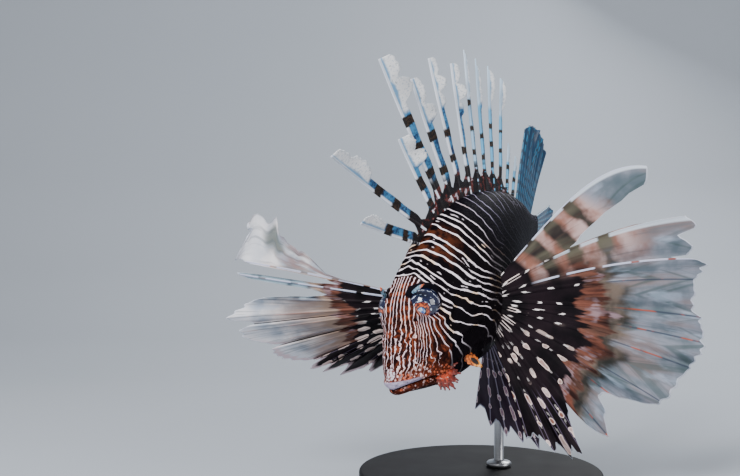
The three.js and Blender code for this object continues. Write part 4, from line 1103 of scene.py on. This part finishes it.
# The belly fins, rooted under the shoulders: one spread beside the left breast fin, the other
# folded back along the belly. Dark, with pale edges to the rays and pink-white blotches.
BELLY_LENGTHS = [90, 84, 76, 68, 60, 46]
LEFT_BELLY_LEANS, LEFT_BELLY_TILT = [-59, -66, -72, -79, -87, -98], 7
RIGHT_BELLY_LEANS, RIGHT_BELLY_TILT = [-12, -19, -27, -35, -43, -52], 0
BELLY_STATION, BELLY_SIDE, BELLY_HEIGHT, BELLY_ROOT, BELLY_RADIUS = 99, 6, 13, 10, 0.85
BELLY_CELLS, BELLY_ROWS, BELLY_RUFFLE = 16, 70, 0.8
FOLDED = [(-0.66, -0.74, -0.15), (-0.1, -0.3, 0.95), (-0.71, 0.68, 0.14)]
BELLY_MARGIN = [
    [0, 1], [0.35, 0.9], [0.6, 0.87], [1, 1], [1.35, 0.9], [1.6, 0.87], [2, 1], [2.35, 0.89],
    [2.6, 0.87], [3, 1], [3.35, 0.88], [3.6, 0.86], [4, 1], [4.4, 0.85], [4.7, 0.86], [5, 1],
]
belly_skin = Paint("belly_fin_skin", Roughness=0.45, Specular_IOR_Level=0.35)
ray, reach, off, rim, beat = belly_skin.marks("ray", "reach", "off", "rim", "beat")
cloud = belly_skin.noise(9, 3.0)
fibre = belly_skin.noise(1.0, 3.0, belly_skin.where(ray * 2.4, reach * 5, 0.0))
colour = belly_skin.blend(cloud, (14, 8, 18), (58, 34, 60))
spot_way = belly_skin.wave(reach * 5 + beat * 5 + (cloud - 0.5) * 1.5) * 4.4
spot_size = spot_distance(spot_way, off / 1.25, fibre)
spread = reach.rise(0.15, 0.22)
colour = colour.under(
    (spot_size.rise(1.6, 1.2) * spread, (238, 216, 222)),
    (spot_size.rise(0.8, 0.4) * spread, (120, 52, 66)),
    (off.rise(0.6, 0.25) * 0.6, (190, 180, 206)),
    (rim.rise(1.3, 0.6) * 0.7, (196, 200, 224)))
belly_skin.feed(Base_Color=colour, Normal=belly_skin.bump(fibre, 0.3))
for name, side, leans, tilt, way in (
        ("left", 1, LEFT_BELLY_LEANS, LEFT_BELLY_TILT, [SPREAD_LEFT, SPREAD_UP, SPREAD_BEHIND]),
        ("right", -1, RIGHT_BELLY_LEANS, RIGHT_BELLY_TILT, FOLDED)):
    belly = along(OUTLINE, 2, BELLY_STATION)
    hub = place(BELLY_STATION, side * BELLY_SIDE, belly + BELLY_HEIGHT)
    table = [(lean, 0, tilt, length) for lean, length in zip(leans, BELLY_LENGTHS)]
    rays = rays_from_hub(mixed_axes(SHOULDER_STATION, *way), hub, BELLY_ROOT, 0, table)
    points, faces, marks = rayed_skin(
        rays, BELLY_LENGTHS, BELLY_MARGIN, BELLY_RADIUS, BELLY_CELLS, BELLY_ROWS, BELLY_RUFFLE,
        seed=4 + side)
    marks["beat"] = np.random.default_rng(14).uniform(0, 1, 8)[np.round(marks["ray"]).astype(int)]
    finer(f"belly_fin_{name}", "belly_fins", belly_skin, points, faces, marks)


# The flaps of skin, which grow from the head: a tentacle over each eye with an orange tip, an
# orange tuft at each corner of the mouth, and a ringed leaf at each cheek's lower edge. The
# left brow flap leans out, and the right one stands up. The tuft's strands fan out by turns.
FLAP_STEPS, FLAP_AROUND = 40, 20
BROW_ROOT, CHEEK_ROOT, LEAF_ROOT = (44, 12, 35), (28, 14.5, -16), (53, 17.5, -21.5)
STRAND_TURNS = (-64, -48, -33, -17, -2, 13, 27, 40, 53)


def flap_along(root, onward, wide, length, width, thick, bend, fringe):
    """A soft leaf: ovals along a bent line, as wide as the sine of the way along plus a part,
    tapering to the cube of it, with a fringe of small teeth on its edges."""
    w = np.linspace(0, 1, FLAP_STEPS)
    face = np.cross(onward, wide)
    face /= np.linalg.norm(face)
    a = np.radians(bend * w)[:, None]
    heading = onward * np.cos(a) + face * np.sin(a)
    steps = heading[1:] * length / (FLAP_STEPS - 1)
    points = root + np.vstack([np.zeros(3), np.cumsum(steps, axis=0)])
    swell = (0.55 + 0.45 * np.sin(np.pi * w)) * (1 - 0.8 * w**3) * (1 + fringe * np.sin(w * 34))
    way = np.linspace(0, 2 * np.pi, FLAP_AROUND, endpoint=False)
    across, through = np.cos(way)[None, :, None], np.sin(way)[None, :, None]
    out = np.cross(np.broadcast_to(wide, heading.shape), heading)[:, None]
    ring = points[:, None] + across * wide * (width * swell / 2)[:, None, None]
    ring = ring + through * out * (thick * (1 - 0.6 * w) / 2)[:, None, None]
    everything = np.vstack([ring.reshape(-1, 3), points[:1], points[-1:]])
    share = np.append(np.repeat(w, FLAP_AROUND), [0, 1])
    ringed = np.hypot((w[:, None] - 0.58) * 2.3, np.cos(way)[None] * swell[:, None] * 1.3).ravel()
    marks = {"reach": share, "ringed": np.append(ringed, [1, 1])}
    return everything, turned_right(everything, closed_tube(FLAP_STEPS, FLAP_AROUND)), marks


def flap_paint(name, root_colour, tip_colour, from_share, hollow=0.0):
    """Fleshy skin that passes from one colour to another along the flap, mottled darker and
    with pale dots, and dark in its middle where it is hollow: painted shade."""
    paint = Paint(name, Roughness=0.5)
    speckle = paint.noise(1.6, 3.0)
    turn = (paint.mark("reach") + (speckle - 0.5) * 0.5).rise(from_share, from_share + 0.2)
    body = paint.blend(turn, root_colour, tip_colour)
    shaded = body.coat(speckle.rise(0.52, 0.4) * 0.85, (58, 18, 14))
    shaded = shaded.coat(speckle.rise(0.63, 0.68) * 0.7, (236, 206, 190))
    # The hollow middle, darkened: painted shade.
    shaded = shaded.coat(paint.mark("ringed").rise(0.6, 0.42) * hollow, (24, 10, 8))
    paint.feed(Base_Color=shaded, Normal=paint.bump(speckle, 0.4))
    return paint


brow_skin = flap_paint("brow_flap_skin", (120, 164, 190), (226, 104, 50), 0.66)
cheek_skin = flap_paint("cheek_flap_skin", (176, 56, 14), (112, 30, 20), 0.45)
jaw_skin = flap_paint("jaw_flap_skin", (226, 112, 26), (244, 160, 60), 0.6, 1.0)
for name, side, ahead, aside, upward, brow_length in (
        ("left", 1, 0.2, 0.91, 0.38, 16.5), ("right", -1, 0.3, 0.3, 0.9, 9.5)):
    out = side * head_left
    brow_root, cheek_root, leaf_root = (
        place(s, side * l, u) for s, l, u in (BROW_ROOT, CHEEK_ROOT, LEAF_ROOT))
    brow_way = ahead * head_forward + aside * head_left + upward * head_up
    brow_way = brow_way / np.linalg.norm(brow_way)
    brow_wide = np.cross(out, brow_way)
    brow_wide /= np.linalg.norm(brow_wide)
    finer(f"brow_flap_{name}", "flaps", brow_skin, *flap_along(
        brow_root, brow_way, brow_wide, brow_length, 4.2, 1.8, 0, 0.12))

    downward = 0.6 * out - 0.8 * head_up
    face_out = np.cross(downward, head_forward)
    strands = []
    for turn in STRAND_TURNS:
        a = np.radians(turn)
        way = downward * np.cos(a) + np.cross(face_out, downward) * np.sin(a)
        wide = head_forward * np.cos(a) + np.cross(face_out, head_forward) * np.sin(a)
        length, bend = 15 + 1.2 * np.cos(turn), 10 * np.sin(turn)
        strands.append(flap_along(cheek_root, way, wide, length, 5.4, 2.4, bend, 0.22))
    finer(f"cheek_flap_{name}", "flaps", cheek_skin, *gathered(strands))
    finer(f"jaw_flap_{name}", "flaps", jaw_skin, *flap_along(
        leaf_root, downward, head_forward, 15, 10.5, 2.2, 0, 0.06))


# The stand: a round base of black lacquered wood, and a steel rod that rises from a foot on
# it into the belly. They hold the swimming fish off the ground.
def lathe(profile, x, y, around):
    """Closed solid turned round an upright line: radius and height pairs carried round."""
    profile = np.array(profile, float)
    way = np.linspace(0, 2 * np.pi, around, endpoint=False)
    ring = np.stack([np.cos(way), np.sin(way)], -1)[None] * profile[:, :1, None] + [x, y]
    high = np.broadcast_to(profile[:, 1][:, None, None], (*ring.shape[:2], 1))
    points = np.concatenate([ring, high], -1).reshape(-1, 3)
    points = np.vstack([points, [x, y, profile[0, 1]], [x, y, profile[-1, 1]]])
    return points, turned_right(points, closed_tube(len(profile), around)), {}


BASE_RADIUS, BASE_HEIGHT, BASE_EDGE = 88, 12, 2
ROD_STATION, ROD_RADIUS, ROD_SUNK, FOOT_RADIUS, FOOT_HEIGHT = 136, 3.5, 6, 9, 4
base_profile = [[1, 0], [BASE_RADIUS - 1, 0], [BASE_RADIUS, 1], [BASE_RADIUS, 4], [BASE_RADIUS, 7]]
for a in np.linspace(0, np.pi / 2, 9):
    inward, down = BASE_EDGE * (1 - np.cos(a)), BASE_EDGE * (1 - np.sin(a))
    base_profile.append([BASE_RADIUS - inward, BASE_HEIGHT - down])
base_profile += [[radius, BASE_HEIGHT] for radius in (80, 60, 40, 20, 1)]
lacquer = Paint("black_lacquer", Specular_IOR_Level=0.12)
wear = lacquer.noise(30, 4.0)
lacquer.feed(Base_Color=lacquer.blend(wear, (15, 15, 17), (28, 27, 30)), Roughness=0.5 + 0.2 * wear)
finer("stand_base", "stand_base", lacquer, *lathe(base_profile, 0, 0, 160))
belly = along(OUTLINE, 2, ROD_STATION)
rod_x, rod_y, _ = place(ROD_STATION, 0, belly)
rod_top = place(ROD_STATION, 0, belly + ROD_SUNK)[2]
foot_top = BASE_HEIGHT + FOOT_HEIGHT
rod_profile = [
    [1, BASE_HEIGHT], [FOOT_RADIUS, BASE_HEIGHT], [FOOT_RADIUS, foot_top - 0.8],
    [FOOT_RADIUS - 0.8, foot_top], [ROD_RADIUS + 1, foot_top + 0.4], [ROD_RADIUS, foot_top + 2],
    [ROD_RADIUS, 50], [ROD_RADIUS, 80], [ROD_RADIUS, rod_top - 1], [ROD_RADIUS, rod_top],
]
steel = Paint("brushed_steel", Metallic=1.0)
brushed = steel.noise(1.0, 3.0, steel.node("ShaderNodeMapping", {}, {
    "Vector": steel.here(), "Scale": (60, 60, 2500)}))
metal = steel.blend(brushed, (150, 152, 156), (196, 197, 200))
steel.feed(Base_Color=metal, Roughness=0.22 + 0.2 * brushed)
finer("stand_rod", "stand_rod", steel, *lathe(rod_profile, rod_x, rod_y, 48))


# The studio: a pale floor that curves up behind, soft light from above on the left, a wide
# fill from the right and a low rim light behind.
FLOOR_HALF = 2.6
FLOOR_CURVE = [(-1.6, 0), (0.6, 0), (0.9, 0.02), (1.15, 0.12), (1.3, 0.3), (1.35, 0.6), (1.35, 2.2)]
floor_points = [(x, depth, rise) for depth, rise in FLOOR_CURVE for x in (-FLOOR_HALF, FLOOR_HALF)]
strips = range(0, len(floor_points) - 2, 2)
floor_mesh = bpy.data.meshes.new("floor")
floor_mesh.from_pydata(floor_points, [], [(k, k + 1, k + 3, k + 2) for k in strips])
floor_mesh.polygons.foreach_set("use_smooth", [True] * len(strips))
floor = bpy.data.objects.new("floor", floor_mesh)
bpy.context.scene.collection.objects.link(floor)
paper = Paint("pale_paper", Roughness=0.9)
paper.feed(Base_Color=paper.blend(paper.noise(400, 2.0), (168, 175, 184), (175, 181, 190)))
floor.data.materials.append(paper.material)
AIM = np.array([0, 0, 0.14])
LIGHTS = (
    ("key", (-0.7, -1.0, 1.1), 0.6, 32), ("fill", (1.2, -0.8, 0.6), 0.9, 12),
    ("rim", (0.5, 1.0, 1.0), 0.6, 12))
for name, at, size, power in LIGHTS:
    light = bpy.data.objects.new(name, bpy.data.lights.new(name, "AREA"))
    light.data.size = size
    light.data.energy = power
    light.location = at
    x, y, z = AIM - at
    light.rotation_euler = (np.arctan2(np.hypot(x, y), -z), 0, np.arctan2(-x, y))
    bpy.context.scene.collection.objects.link(light)
world = bpy.data.worlds.new("studio")
world.use_nodes = True
sky = world.node_tree.nodes["Background"].inputs
sky["Color"].default_value = (0.86, 0.89, 0.93, 1)
sky["Strength"].default_value = 0.36
bpy.context.scene.world = world
